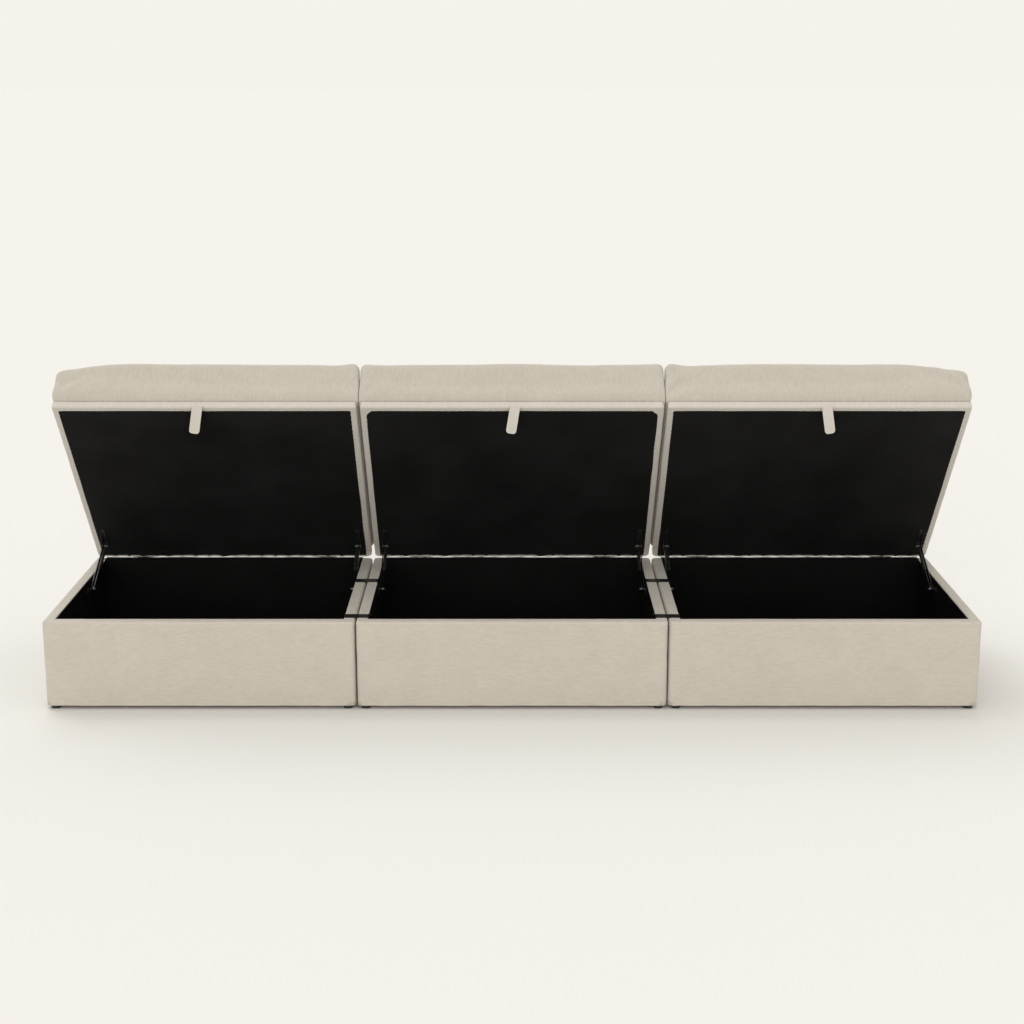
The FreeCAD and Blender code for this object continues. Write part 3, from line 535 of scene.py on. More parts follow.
# Covers and linings of the lids
def make_lid_band(module, seed):
    """Cloth wrapped round the lid board's edge and turned under it."""
    node = f"lid_edge_cover_{module}"
    place = lid_frame(module)
    low, high = node_box(node, place)
    high.z += LAP_CLOTH
    bm = box_mesh(low, high)
    top, under = facing(bm, Z_AXIS), facing(bm, -Z_AXIS)
    bmesh.ops.inset_region(bm, faces=top, thickness=TOP_LAP, use_even_offset=True)
    bmesh.ops.inset_region(bm, faces=under, thickness=TURN_UNDER, use_even_offset=True)
    bmesh.ops.delete(bm, geom=top + under, context="FACES")
    rounded(bm, edges_along(bm, Z_AXIS), BAND_CORNER, 5)

    def on_rim(edge):
        faces = [face.normal.normalized() for face in edge.link_faces]
        return len(faces) == 2 and faces[0].angle(faces[1]) > math.radians(80)

    bm.normal_update()
    divided(bm, high - Y_AXIS * 2 * BAND_CORNER, Y_AXIS)
    rear = [e for e in bm.edges if on_rim(e) and min(v.co.y for v in e.verts) > high.y - MM]
    rounded(bm, [e for e in bm.edges if on_rim(e) and e not in rear], BAND_ROUND, 3)
    sliced(bm, CLOTH_CELL / 2)

    def spare(spot):
        return 0.0 if spot.z < low.z + 0.2 * MM else 1.0

    rippled(bm, 0.7 * MM, 60 * MM, seed, spare)
    rippled(bm, 0.35 * MM, 18 * MM, seed + 3, spare)
    # between its staples the cloth hangs a little at the lid's rear edge
    for vert in bm.verts:
        if vert.co.y > high.y - MM and vert.co.z < low.z + MM:
            slack = 0.7 + wave(vert.co.x * 14, seed, 0)
            vert.co.z -= REAR_SAG * slack * abs(math.sin(math.pi * vert.co.x / STAPLE_PITCH / 2)) ** 0.5
    bm.normal_update()
    bmesh.ops.solidify(bm, geom=bm.faces[:], thickness=BAND_CLOTH)
    new_piece(f"lid_band_{module}", bm, band_cloth_painted_light, f"lid_{module}", [node], place)


def make_lid_cloth(module, seed):
    """Thin black cloth stapled under the lid board; its edge pulls back a little between the staples."""
    node = f"lid_lining_{module}"
    place = lid_frame(module)
    low, high = node_box(node, place)
    high.y += REAR_HANG
    size = high - low
    across, deep = (round(size[i] / (STAPLE_PITCH / 4)) for i in (0, 1))
    bm = bmesh.new()
    bmesh.ops.create_grid(bm, x_segments=across, y_segments=deep, size=0.5)
    middle = (low + high) / 2
    cut = CUT_CORNERS[module]
    for vert in bm.verts:
        flat = Vector((vert.co.x * size.x, vert.co.y * size.y, 0))
        to_side = size.x / 2 - abs(flat.x)
        to_front = flat.y + size.y / 2
        over = cut - (to_side + to_front)
        if over > 0:
            flat.x -= math.copysign(over / 2, flat.x)
            flat.y += over / 2
        slack_side = SCALLOP * (0.6 + 0.8 * wave(seed, flat.y * 9, flat.x))
        slack_front = SCALLOP * (0.5 + 0.8 * wave(flat.x * 9, seed, 1))
        near_side = fade(to_side, 10 * MM)
        near_front = fade(to_front, 10 * MM)
        pull_side = abs(math.sin(math.pi * flat.y / STAPLE_PITCH)) * slack_side * near_side
        pull_front = abs(math.sin(math.pi * flat.x / STAPLE_PITCH)) * slack_front * near_front
        flat.x -= math.copysign(pull_side, flat.x)
        flat.y += pull_front
        near_rear = fade(size.y / 2 - flat.y, 8 * MM)
        flat.y -= near_rear * 2 * MM * abs(math.sin(math.pi * flat.x / STAPLE_PITCH / 2 + seed))
        inner = min(1.0, to_side / (80 * MM), to_front / (80 * MM), (size.y / 2 - flat.y) / (80 * MM))
        sag = inner * (0.6 + wave(flat.x * 4, flat.y * 4, seed)) * 1.2 * MM
        vert.co = Vector((middle.x + flat.x, middle.y + flat.y, high.z - 0.1 * MM - max(0.0, sag)))
    if next(iter(bm.faces)).normal.z > 0:
        bmesh.ops.reverse_faces(bm, faces=bm.faces[:])
    bm.normal_update()
    bmesh.ops.solidify(bm, geom=bm.faces[:], thickness=0.8 * MM)
    piece = new_piece(f"lid_cloth_{module}", bm, lid_black, f"lid_{module}", [node], place)


# Cushions
ENDS = {"left": -1, "middle": 0, "right": 1}


def outer_drop(module, x, low, high):
    """How far a cushion has thinned at x, towards the end of the run."""
    end = ENDS[module]
    to_end = (high.x - x) if end > 0 else (x - low.x)
    near = fade(to_end, OUTER_SLOPE) if end else 0.0
    return OUTER_DROP * near * near


def start_cushion(module, low, high, seed):
    """The stuffing's shape before its cloth swells: a rounded block, thinner at the end of the run."""
    inner_low = low + Vector((CUSHION_SHRINK, -0.5 * CUSHION_PROUD, 0))
    inner_high = high - Vector((CUSHION_SHRINK, CUSHION_SHRINK, CUSHION_SHRINK - CUSHION_PROUD))
    bm = box_mesh(inner_low, inner_high)
    upright = edges_along(bm, Z_AXIS)
    rear = [e for e in upright if e.verts[0].co.y > 0.5 * (low.y + high.y)]
    front = [e for e in upright if e not in rear]
    rounded(bm, rear, CUSHION_REAR_CORNER, 6)
    rounded(bm, [e for e in front if e.is_valid], CUSHION_FRONT_CORNER, 6)
    bm.normal_update()
    upper = [e for e in bm.edges if all(v.co.z > inner_high.z - MM for v in e.verts)]
    rounded(bm, upper, CUSHION_ROUND, 6)
    sliced(bm, 60 * MM)
    height = inner_high.z - inner_low.z
    for vert in bm.verts:
        rise = (vert.co.z - inner_low.z) / height
        vert.co.z -= outer_drop(module, vert.co.x, low, high) * rise
        vert.co.z += 3 * MM * rise * noise.noise(vert.co * 7 + Vector((seed, 0, 0)))
    return bm


def swollen(name, bm, still):
    """The cloth simulation: pressure from inside, with what lies on the board held."""
    mesh = bpy.data.meshes.new(name)
    bm.to_mesh(mesh)
    bm.free()
    cloth = bpy.data.objects.new(name, mesh)
    scene = bpy.context.scene
    scene.collection.objects.link(cloth)
    remesh = cloth.modifiers.new("even", "REMESH")
    remesh.mode = "VOXEL"
    remesh.voxel_size = CUSHION_VOXEL
    bpy.context.view_layer.update()
    even = bpy.data.meshes.new_from_object(cloth.evaluated_get(bpy.context.evaluated_depsgraph_get()))
    cloth.modifiers.clear()
    cloth.data = even
    before = [v.co.copy() for v in even.vertices]
    held = cloth.vertex_groups.new(name="held")
    held.add([v.index for v in even.vertices if still(v.co)], 1.0, "REPLACE")
    sim = cloth.modifiers.new("swell", "CLOTH")
    sim.settings.quality = 4
    sim.settings.use_pressure = True
    sim.settings.uniform_pressure_force = CUSHION_PRESSURE
    sim.settings.effector_weights.gravity = 0
    sim.settings.vertex_group_mass = "held"
    sim.settings.shrink_min = -0.012
    sim.collision_settings.use_collision = False
    for step in range(1, CUSHION_FRAMES + 1):
        scene.frame_set(step)
    depsgraph = bpy.context.evaluated_depsgraph_get()
    swelled = bpy.data.meshes.new_from_object(cloth.evaluated_get(depsgraph))
    cloth.modifiers.clear()
    cloth.data = swelled
    for vert, was in zip(swelled.vertices, before):
        moved = vert.co - was
        if moved.length > CUSHION_CAP:
            vert.co = was + moved.normalized() * CUSHION_CAP
    scene.frame_set(1)
    result = bmesh.new()
    result.from_mesh(cloth.data)
    bpy.data.objects.remove(cloth)
    return result


def creased(co, low, high, seed):
    """Pulls short slanting creases into the front of a cushion by its lower corners."""
    to_side = min(co.x - low.x, high.x - co.x)
    near = fade(to_side, 240 * MM) * fade(co.y - low.y, 90 * MM)
    slant = math.copysign(1, co.x)
    across = Vector((slant * co.x * 16 + co.z * 22, co.z * 5 - slant * co.x * 4, seed))
    fold = 1 - 2 * abs(noise.noise(across))
    co.y += CREASE * near * fold


def settled(co, module, low, high, seed):
    """Evens the waves that swelling leaves in the top into one soft surface."""
    to_edge = min(co.x - low.x, high.x - co.x, co.y - low.y, high.y - co.y)
    share = min(1.0, max(0.0, (to_edge - 45 * MM) / (80 * MM)))
    if co.z > (low.z + high.z) / 2:
        level = high.z + CUSHION_PROUD - 2 * MM - outer_drop(module, co.x, low, high)
        level += 2.5 * MM * noise.noise(co * 5 + Vector((seed, 0, 0)))
        co.z += (level - co.z) * share * share * (3 - 2 * share)


def tucked(co, module, low, high):
    """Draws the foot of the cushion in, along the front and at the end of the run."""
    foot = fade(co.z - low.z, TUCK_HEIGHT) ** 2
    front = fade(co.y - low.y, 60 * MM)
    co.y += TUCK * foot * front
    end = ENDS[module]
    if end:
        to_end = (high.x - co.x) if end > 0 else (co.x - low.x)
        co.x -= end * TUCK * foot * fade(to_end, 60 * MM)


def crowned(co, low, high):
    """Domes the seat: highest in the middle, falling away to its edges."""
    across = abs(2 * co.x / (high.x - low.x)) ** 2.4
    deep = abs(2 * (co.y - (low.y + high.y) / 2) / (high.y - low.y)) ** 2.4
    share = max(0.0, (co.z - low.z) / (high.z - low.z)) ** 3
    co.z += CUSHION_CROWN * share * max(0.0, 1 - across) * max(0.0, 1 - deep)


def make_cushion(module, seed):
    node = f"seat_cushion_{module}"
    place = lid_frame(module)
    low, high = node_box(node, place)
    bm = start_cushion(module, low, high, seed)
    bm = swollen(f"stuffing_{module}", bm, lambda co: co.z < low.z + CUSHION_VOXEL)
    for _ in range(2):
        axes = {"use_axis_x": True, "use_axis_y": True, "use_axis_z": True}
        bmesh.ops.smooth_vert(bm, verts=bm.verts, factor=0.5, **axes)
    for vert in bm.verts:
        co = vert.co
        lift = min(1.0, max(0.0, (co.z - low.z) / (30 * MM)))
        where = co * 5 + Vector((seed * 3, 0, 0))
        co += Vector((0, -1, 1)) * lift * 2.2 * MM * noise.noise(where)
        creased(co, low, high, seed)
        # the sides press flat against the neighbours
        co.x = max(low.x, min(high.x, co.x * CUSHION_SPREAD))
        co.y = max(low.y - CUSHION_PROUD, min(high.y, co.y))
        co.z = max(low.z + 0.3 * MM, min(high.z + CUSHION_PROUD, co.z))
        settled(co, module, low, high, seed)
        tucked(co, module, low, high)
        crowned(co, low, high)
    name, body = f"cushion_{module}", f"lid_{module}"
    piece = new_piece(name, bm, cushion_cloth_painted_shade, body, [node], place, 180)
    smooth = piece.modifiers.new("smooth", "SUBSURF")
    smooth.levels = smooth.render_levels = 1


# Pull tabs
def make_pull_tab(module):
    """A strip of the cover cloth, folded flat, hemmed, and sewn to the lid's lower front edge."""
    node = f"pull_tab_{module}"
    joint = JOINTS[f"tab_hang_{module}"]
    lean = math.radians(TAB_LEAN) * (-1 if module == "right" else 1)
    place = Matrix.Translation(joint["pos_m"]) @ Matrix.Rotation(lean, 4, "Y")
    low, high = node_box(node, place)
    bm = box_mesh(low, high)
    lower = [e for e in bm.edges if along(e, Y_AXIS) and e.verts[0].co.z < low.z + MM]
    rounded(bm, lower, TAB_CORNER, 6)
    sliced(bm, 5 * MM)
    bm.normal_update()
    rim = [e for e in bm.edges if len(e.link_faces) == 2 and e.calc_face_angle(0) > math.radians(60)]
    rounded(bm, rim, 1.6 * MM, 2)
    middle = (low + high) / 2
    half = (high.y - low.y) / 2

    def fallen(spot):
        return (high.z - spot.z) / (high.z - low.z)

    def thickness(spot):
        """The strip's own half thickness: thin inside its hem, full at its rim."""
        edge = abs(spot.x) / (high.x - low.x) * 2
        return half * (0.62 + 0.38 * max(edge, fallen(spot)) ** 3)

    sewn = bmesh.new()
    for face in (-1, 1):
        seam = stitches(low, high, TAB_CORNER)
        for vert in seam.verts:
            vert.co.y += face * (thickness(vert.co) + 0.1 * MM)
        add(sewn, seam)
    for vert in bm.verts:
        vert.co.y = middle.y + (vert.co.y - middle.y) / half * thickness(vert.co)
    for vert in bm.verts[:] + sewn.verts[:]:
        drop = fallen(vert.co)
        vert.co.y -= 2.5 * MM * math.sin(math.pi * drop) * drop
    for name, made, cloth, nodes in (("tab", bm, tab_cloth_painted_light, [node]), ("tab_stitches", sewn, thread, ())):
        piece = new_piece(f"{name}_{module}", made, cloth, None, nodes, place, rides=False)
        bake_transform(piece)


# Turned and folded steel
def thickened(bm, shift):
    """Makes a solid of a flat shape by drawing it along shift."""
    made = bmesh.ops.extrude_face_region(bm, geom=bm.faces[:])
    moved = [v for v in made["geom"] if isinstance(v, bmesh.types.BMVert)]
    bmesh.ops.translate(bm, vec=shift, verts=moved)
    bmesh.ops.recalc_face_normals(bm, faces=bm.faces)


def turned(outline, steps=32):
    """A shape turned about the Z axis from an outline of (radius, height) points."""
    bm = bmesh.new()
    verts = [bm.verts.new((radius, 0, height)) for radius, height in outline]
    edges = [bm.edges.new(pair) for pair in zip(verts, verts[1:])]
    bmesh.ops.spin(
        bm, geom=verts + edges, cent=(0, 0, 0), axis=Z_AXIS, angle=math.tau, steps=steps, use_merge=True,
    )
    bmesh.ops.remove_doubles(bm, verts=bm.verts, dist=0.001 * MM)
    bmesh.ops.recalc_face_normals(bm, faces=bm.faces)
    return bm


def lying(way, spot):
    """The place of a turned piece whose Z axis runs along way from spot."""
    return Matrix.Translation(spot) @ way.to_track_quat("Z", "Y").to_matrix().to_4x4()


def add(bm, part, place=STILL):
    """Puts a finished part into a piece."""
    bmesh.ops.transform(part, matrix=place, verts=part.verts)
    mesh = bpy.data.meshes.new("part")
    part.to_mesh(mesh)
    part.free()
    bm.from_mesh(mesh)
    bpy.data.meshes.remove(mesh)


def pin(diameter, near, far, ease=0.3 * MM, steps=32):
    """A rod's length between two heights, its rims eased."""
    radius = diameter / 2
    side = [(radius, near + ease), (radius, far - ease)]
    return turned([(0, near), (radius - ease, near), *side, (radius - ease, far), (0, far)], steps)


def ring(outer, inner, depth, ease=0.6 * MM):
    """A ring about its Z axis, half of it on either side, its rims eased."""
    outer, inner, half = outer / 2, inner / 2, depth / 2
    rim = [(outer - ease, -half), (outer - ease * 0.3, -half + ease * 0.3), (outer, -half + ease)]
    rim += [(radius, -height) for radius, height in reversed(rim)]
    return turned([(inner, -half), *rim, (inner, half), (inner, -half)])


def hexagon(across_corners, near, far):
    """A nut or a bolt's head, its corners chamfered."""
    return pin(across_corners, near, far, 0.5 * MM, 6)


def plate(low, high, corner, axis, ease=0.3 * MM):
    """A flat plate whose corners are rounded about axis and whose rims are eased."""
    bm = box_mesh(low, high)
    if corner:
        rounded(bm, edges_along(bm, axis), corner, 6)
    bm.normal_update()
    rim = [e for e in bm.edges if e.calc_face_angle(0) > math.radians(80)]
    rounded(bm, rim, ease, 1)
    return bm


def sorted_pair(first, second):
    low = Vector(min(pair) for pair in zip(first, second))
    high = Vector(max(pair) for pair in zip(first, second))
    return low, high


def pan_head():
    """A screw's head with a driving hole, standing on the XY plane."""
    radius, top = SCREW_HEAD / 2, SCREW_HEAD_DEPTH
    hole = 1.3 * MM
    return turned(
        [
            (0, 0), (radius, 0), (radius, 0.35 * top), (0.86 * radius, 0.72 * top),
            (0.62 * radius, 0.94 * top), (hole, top), (hole, 0.3 * top), (0, 0.2 * top),
        ],
        24,
    )


def base_fitting(name, bm, material, node):
    """A hard piece of the boxes, its edges kept sharp."""
    new_piece(name, bm, material, "base", [node], flat_angle=35)


def lid_fitting(name, module, bm, material, slot, *nodes):
    """The same for a hard piece of a lid."""
    body, place = f"lid_{module}", lid_frame(module)
    new_piece(f"{name}_{module}", bm, material, body, nodes, place, 35)


# Lift mechanism
WAYS = {"l": 1, "r": -1}


def strut_frame(module, side):
    """A strut's own axes once the lid is open: Y from its foot up to the lid, X across."""
    foot = JOINTS[f"strut_turn_{module}_{side}"]["pos_m"]
    slide = JOINTS[f"strut_slide_{module}_{side}"]["axis"]
    return Matrix.Translation(foot) @ Matrix.Rotation(math.atan2(slide[2], slide[1]), 4, "X")


def strut_length(module, side):
    node = f"gas_cylinder_{module}_{side}"
    return node_box(node, strut_frame(module, side))[1].y - EYE / 2


def add_eye(bm, at):
    add(bm, ring(EYE, EYE_HOLE, EYE_DEPTH), lying(X_AXIS, (0, at, 0)))


def make_rod(module, side):
    bm = bmesh.new()
    add_eye(bm, 0)
    tip = strut_length(module, side) - FERRULE_LENGTH - TUBE_LENGTH + ROD_GRIP
    foot = EYE / 2 - 0.3 * MM
    neck, rod = FERRULE / 2, ROD / 2
    outline = [
        (0, foot), (neck - 0.4 * MM, foot), (neck, foot + 1 * MM), (neck, FERRULE_LENGTH - 1.5 * MM),
        (neck - 0.9 * MM, FERRULE_LENGTH), (rod, FERRULE_LENGTH), (rod, tip), (0, tip),
    ]
    add(bm, turned(outline), lying(Y_AXIS, (0, 0, 0)))
    body, node = f"strut_rod_{module}_{side}", f"gas_rod_{module}_{side}"
    into = strut_frame(module, side)
    new_piece(f"rod_{module}_{side}", bm, rod_black, body, [node], into)


def make_cylinder(module, side):
    """The gas tube: rolled in at its mouth, drawn in to a ferrule at its head."""
    length = strut_length(module, side)
    node = f"gas_cylinder_{module}_{side}"
    neck = length - FERRULE_LENGTH
    mouth = neck - TUBE_LENGTH
    bore = mouth + ROD_GRIP + 55 * MM
    tube, hole, ferrule = TUBE / 2, ROD_BORE / 2, FERRULE / 2
    head = length - EYE / 2 + 0.3 * MM
    outline = [
        (0, bore), (hole, bore), (hole, mouth), (tube - 1.6 * MM, mouth),
        (tube - 0.5 * MM, mouth + 0.5 * MM), (tube, mouth + 1.8 * MM), (tube, mouth + 5 * MM),
        (tube - 0.5 * MM, mouth + 6 * MM), (tube, mouth + 7 * MM), (tube, neck - 3 * MM),
        (tube - 0.6 * MM, neck - 1.2 * MM), (ferrule + 0.4 * MM, neck), (ferrule, neck + 0.5 * MM),
        (ferrule, head - 1 * MM), (ferrule - 0.4 * MM, head), (0, head),
    ]
    bm = bmesh.new()
    add_eye(bm, length)
    add(bm, turned(outline), lying(Y_AXIS, (0, 0, 0)))
    name, body = f"cylinder_{module}_{side}", f"strut_tube_{module}_{side}"
    into = strut_frame(module, side)
    new_piece(name, bm, tube_paint, body, [node], into)


def slot_outline(bm, radius, reach):
    """The edges of a slot: a circle whose halves are drawn apart along Y."""
    turn = Matrix.Rotation(math.pi / 32, 4, "Z")
    made = bmesh.ops.create_circle(bm, segments=32, radius=radius, matrix=turn)
    for vert in made["verts"]:
        if vert.co.y > 0:
            vert.co.y += reach
    return list({edge for vert in made["verts"] for edge in vert.link_edges})


def make_stay_bar(module, side):
    """A flat slotted bar beside the strut, with the stud that takes both to the lid."""
    way, length = WAYS[side], strut_length(module, side)
    slide = JOINTS[f"strut_slide_{module}_{side}"]["range_m"]
    bm = bmesh.new()
    outer = slot_outline(bm, BAR_WIDTH / 2, length)
    inner = slot_outline(bm, BAR_SLOT / 2, abs(slide[0]))
    bmesh.ops.triangle_fill(bm, use_beauty=True, use_dissolve=True, edges=outer + inner)
    bmesh.ops.solidify(bm, geom=bm.faces[:], thickness=PLATE)
    bmesh.ops.recalc_face_normals(bm, faces=bm.faces)
    low, high = corners_of(bm.verts)
    bar = bmesh.new()
    centre = way * (BAR_OFFSET + PLATE / 2 - STRUT_OFFSET)
    flat = Matrix.Rotation(math.radians(90), 4, "Y") @ Matrix.Translation((0, 0, -(low.z + high.z) / 2))
    add(bar, bm, Matrix.Translation((centre, 0, 0)) @ flat)
    near = BAR_OFFSET + PLATE - STRUT_OFFSET
    far = STUD_REACH - STRUT_OFFSET
    top = lying(way * X_AXIS, (0, length, 0))
    add(bar, pin(STUD, near, far + LOCK_NUT_DEPTH + 1 * MM), top)
    add(bar, hexagon(LOCK_NUT, far, far + LOCK_NUT_DEPTH), top)
    node, body = f"stay_bar_{module}_{side}", f"strut_tube_{module}_{side}"
    into = strut_frame(module, side)
    new_piece(f"bar_{module}_{side}", bar, bar_zinc, body, [node], into, 35)


def make_base_brackets():
    """A rounded plate on each side wall, with the stud that the strut and its stay bar turn on."""
    bm = bmesh.new()
    walls = solids("strut_base_brackets")
    for module in MODULES:
        for side, way in WAYS.items():
            foot = Vector(JOINTS[f"strut_turn_{module}_{side}"]["pos_m"])
            wall = foot.x - way * STRUT_OFFSET
            low, high = next(box for box in walls if box[0].x - MM < foot.x < box[1].x + MM)
            near = Vector((wall, low.y, low.z))
            far = Vector((wall + way * PLATE, high.y, high.z))
            add(bm, plate(*sorted_pair(near, far), 6 * MM, X_AXIS))
            stud = lying(way * X_AXIS, (wall, foot.y, foot.z))
            add(bm, pin(SHOULDER, PLATE, BAR_OFFSET - 0.3 * MM), stud)
            add(bm, pin(STUD, PLATE, STUD_REACH + LOCK_NUT_DEPTH + 1 * MM), stud)
            add(bm, hexagon(LOCK_NUT, STUD_REACH, STUD_REACH + LOCK_NUT_DEPTH), stud)
    base_fitting("base_brackets", bm, black_paint, "strut_base_brackets")


def make_lid_brackets(module):
    """Angle brackets: a leaf under the lid's black cloth and an ear down to the strut."""
    node = f"lid_strut_brackets_{module}"
    place = lid_frame(module)
    bm = bmesh.new()
    for side, (low, high) in zip(SIDES, solids(node, place)):
        way = WAYS[side]
        wall = low.x if way > 0 else high.x
        ear = wall + way * 1.4 * MM
        stud_y, stud_z = high.y - EAR_BEHIND, low.z + EAR_WIDTH / 2
        half = EAR_WIDTH / 2
        outline = [
            (high.y, high.z), (stud_y + half, stud_z), (stud_y + half, low.z), (stud_y - half, low.z),
            (stud_y - half, stud_z), (stud_y - half - EAR_TAPER, high.z - EAR_TAIL),
            (low.y, high.z - EAR_TAIL), (low.y, high.z),
        ]
        part = bmesh.new()
        part.faces.new([part.verts.new((ear, y, z)) for y, z in outline])
        corners = [v for v in part.verts if v.co.z < low.z + MM]
        rounded(part, corners, 0.98 * half, 8, "VERTICES")
        thickened(part, (way * PLATE, 0, 0))
        add(bm, part)
        near = Vector((ear, low.y, high.z - PLATE))
        far = Vector((ear + way * LEAF_WIDTH, high.y, high.z))
        add(bm, plate(*sorted_pair(near, far), 0, Z_AXIS))
        add(bm, pin(RIVET, 0, 1.4 * MM), lying(way * X_AXIS, (wall, stud_y, stud_z)))
    lid_fitting("lid_brackets", module, bm, black_paint, "black_steel", node)


# Fasteners
def make_base_fasteners():
    """Screws of the brackets and clips, and the bolts with their dome nuts between the boxes."""
    centres = [JOINTS[f"lid_hinge_{module}"]["pos_m"][0] for module in MODULES]
    bm = bmesh.new()
    for low, high in solids("base_fasteners"):
        middle = (low + high) / 2
        home = min(centres, key=lambda x: abs(x - middle.x))
        way = X_AXIS if home > middle.x else -X_AXIS
        end = Vector((high.x if way.x > 0 else low.x, middle.y, middle.z))
        across = high.y - low.y
        if high.x - low.x > 40 * MM:
            # the bolt's head is in the middle box, its nut in the outer one
            way = X_AXIS if abs(high.x) < abs(low.x) else -X_AXIS
            end.x = high.x if way.x > 0 else low.x
            back = lying(-way, end)
            add(bm, hexagon(max(across, high.z - low.z), 0, BOLT_HEAD_DEPTH), back)
            add(bm, pin(STUD, BOLT_HEAD_DEPTH - 0.2 * MM, high.x - low.x), back)
        elif across > SCREW_HEAD + 0.5 * MM:
            foot = (low.x if way.x > 0 else high.x, middle.y, middle.z)
            add(bm, dome_nut(high.x - low.x), lying(way, foot))
        else:
            seat = end - way * SCREW_HEAD_DEPTH
            add(bm, pan_head(), lying(way, seat))
            add(bm, pin(4 * MM, 0, 16 * MM), lying(-way, seat))
    base_fitting("base_fastener_set", bm, black_zinc, "base_fasteners")


def dome_nut(depth):
    """A hexagon nut with a domed cap, bored for its bolt."""
    nut = depth - CAP_DEPTH
    ease, step = 0.5 * MM, 0.6 * MM
    shank, corner, cap = STUD / 2 + 0.05 * MM, LOCK_NUT / 2, CAP / 2
    side = [(corner - step, 0), (corner, ease), (corner, nut - ease), (corner - step, nut)]
    bm = turned([(shank, nut), (shank, 0), *side, (shank, nut)], 6)
    rise = CAP_DEPTH - step
    angles = [math.radians(a) for a in range(0, 90, 15)]
    arc = [(cap * math.cos(a), nut + step + rise * math.sin(a)) for a in angles]
    lap = nut - 0.2 * MM
    add(bm, turned([(0, lap), (cap, lap), *arc, (0, nut + CAP_DEPTH)], 24))
    return bm


def make_lid_screws(module):
    node = f"lid_screws_{module}"
    place = lid_frame(module)
    bm = bmesh.new()
    for low, high in solids(node, place):
        spot = (low + high) / 2
        spot.z = low.z + SCREW_HEAD_DEPTH
        add(bm, pan_head(), lying(-Z_AXIS, spot))
        add(bm, pin(4 * MM, 0, high.z - spot.z), lying(Z_AXIS, spot))
    lid_fitting("lid_screw_set", module, bm, black_zinc, "zinc_steel", node)


# Hinges, clips and glides
def hinge_leaf(low, high, numbers, way, axis):
    """A hinge leaf with its rolled knuckles and countersunk screws; way is 1 upwards and -1 downwards."""
    bm = bmesh.new()
    clear = HINGE_BARREL / 2 + KNUCKLE_PLAY
    front = axis.y - HINGE_BARREL / 2
    tip = high.z if way > 0 else low.z
    root = axis.z + way * clear
    near, far = Vector((low.x, front, root)), Vector((high.x, front + HINGE_LEAF, tip))
    leaf = box_mesh(*sorted_pair(near, far))
    outer = [e for e in leaf.edges if along(e, Y_AXIS) and abs(e.verts[0].co.z - tip) < 0.1 * MM]
    rounded(leaf, outer, 5 * MM, 5)
    add(bm, leaf)
    length = (high.x - low.x) / KNUCKLES
    for number in numbers:
        start = low.x + number * length + KNUCKLE_PLAY
        end = start + length - 2 * KNUCKLE_PLAY
        tab = sorted_pair((start, front, axis.z), (end, front + HINGE_LEAF, root))
        add(bm, box_mesh(*tab))
        middle = ((start + end) / 2, axis.y, axis.z)
        add(bm, ring(HINGE_BARREL, HINGE_PIN + 0.1 * MM, end - start, 0.3 * MM), lying(X_AXIS, middle))
    for share in (0.16, 0.5, 0.84):
        spot = (low.x + share * (high.x - low.x), front + HINGE_LEAF, (root + tip) / 2 + way * 2 * MM)
        radius = HINGE_SCREW / 2
        head = turned(
            [
                (0, -0.5 * MM), (radius, -0.5 * MM), (radius, 0.2 * MM), (0.7 * radius, 0.7 * MM),
                (1.3 * MM, 0.8 * MM), (1.3 * MM, -0.1 * MM), (0, -0.2 * MM),
            ],
            24,
        )
        add(bm, head, lying(Y_AXIS, spot))
    return bm


def make_hinges():
    pivot = Vector(JOINTS["lid_hinge_middle"]["pos_m"])
    base = bmesh.new()
    for low, high in solids("hinge_base_leaves"):
        add(base, hinge_leaf(low, high, (0, 2, 4), -1, pivot))
    base_fitting("hinge_leaves_base", base, zinc, "hinge_base_leaves")
    for module in MODULES:
        node, place = f"hinge_lid_leaves_{module}", lid_frame(module)
        lid = bmesh.new()
        for low, high in solids(node, place):
            low.x, high.x = (round((low.x + high.x) / 2, 3) + half for half in (-37.5 * MM, 37.5 * MM))
            add(lid, hinge_leaf(low, high, (1, 3), 1, Vector((0, 0, 0))))
        lid_fitting("hinge_leaves", module, lid, zinc, "zinc_steel", node)
    pins = bmesh.new()
    for low, high in solids("hinge_pins"):
        start = Vector((low.x, pivot.y, pivot.z))
        add(pins, pin(HINGE_PIN, 0, high.x - low.x), lying(X_AXIS, start))
    base_fitting("hinge_pin_set", pins, zinc, "hinge_pins")


def make_clips():
    """Strips of steel folded over two neighbouring walls, with rounded folds."""
    bm = bmesh.new()
    for low, high in solids("connector_clips"):
        inner_low, inner_high, under = low.x + CLIP_STEEL, high.x - CLIP_STEEL, high.z - CLIP_STEEL
        outline = [
            (low.x, low.z), (inner_low, low.z), (inner_low, under), (inner_high, under),
            (inner_high, low.z), (high.x, low.z), (high.x, high.z), (low.x, high.z),
        ]
        clip = bmesh.new()
        clip.faces.new([clip.verts.new((x, low.y, z)) for x, z in outline])
        thickened(clip, (0, high.y - low.y, 0))
        folds = [e for e in clip.edges if along(e, Y_AXIS) and e.verts[0].co.z > high.z - 0.1 * MM]
        rounded(clip, folds, 1.4 * MM, 4)
        feet = [e for e in clip.edges if along(e, X_AXIS) and e.verts[0].co.z < low.z + 0.1 * MM]
        rounded(clip, feet, 4 * MM, 4)
        add(bm, clip)
    base_fitting("clips", bm, black_paint, "connector_clips")


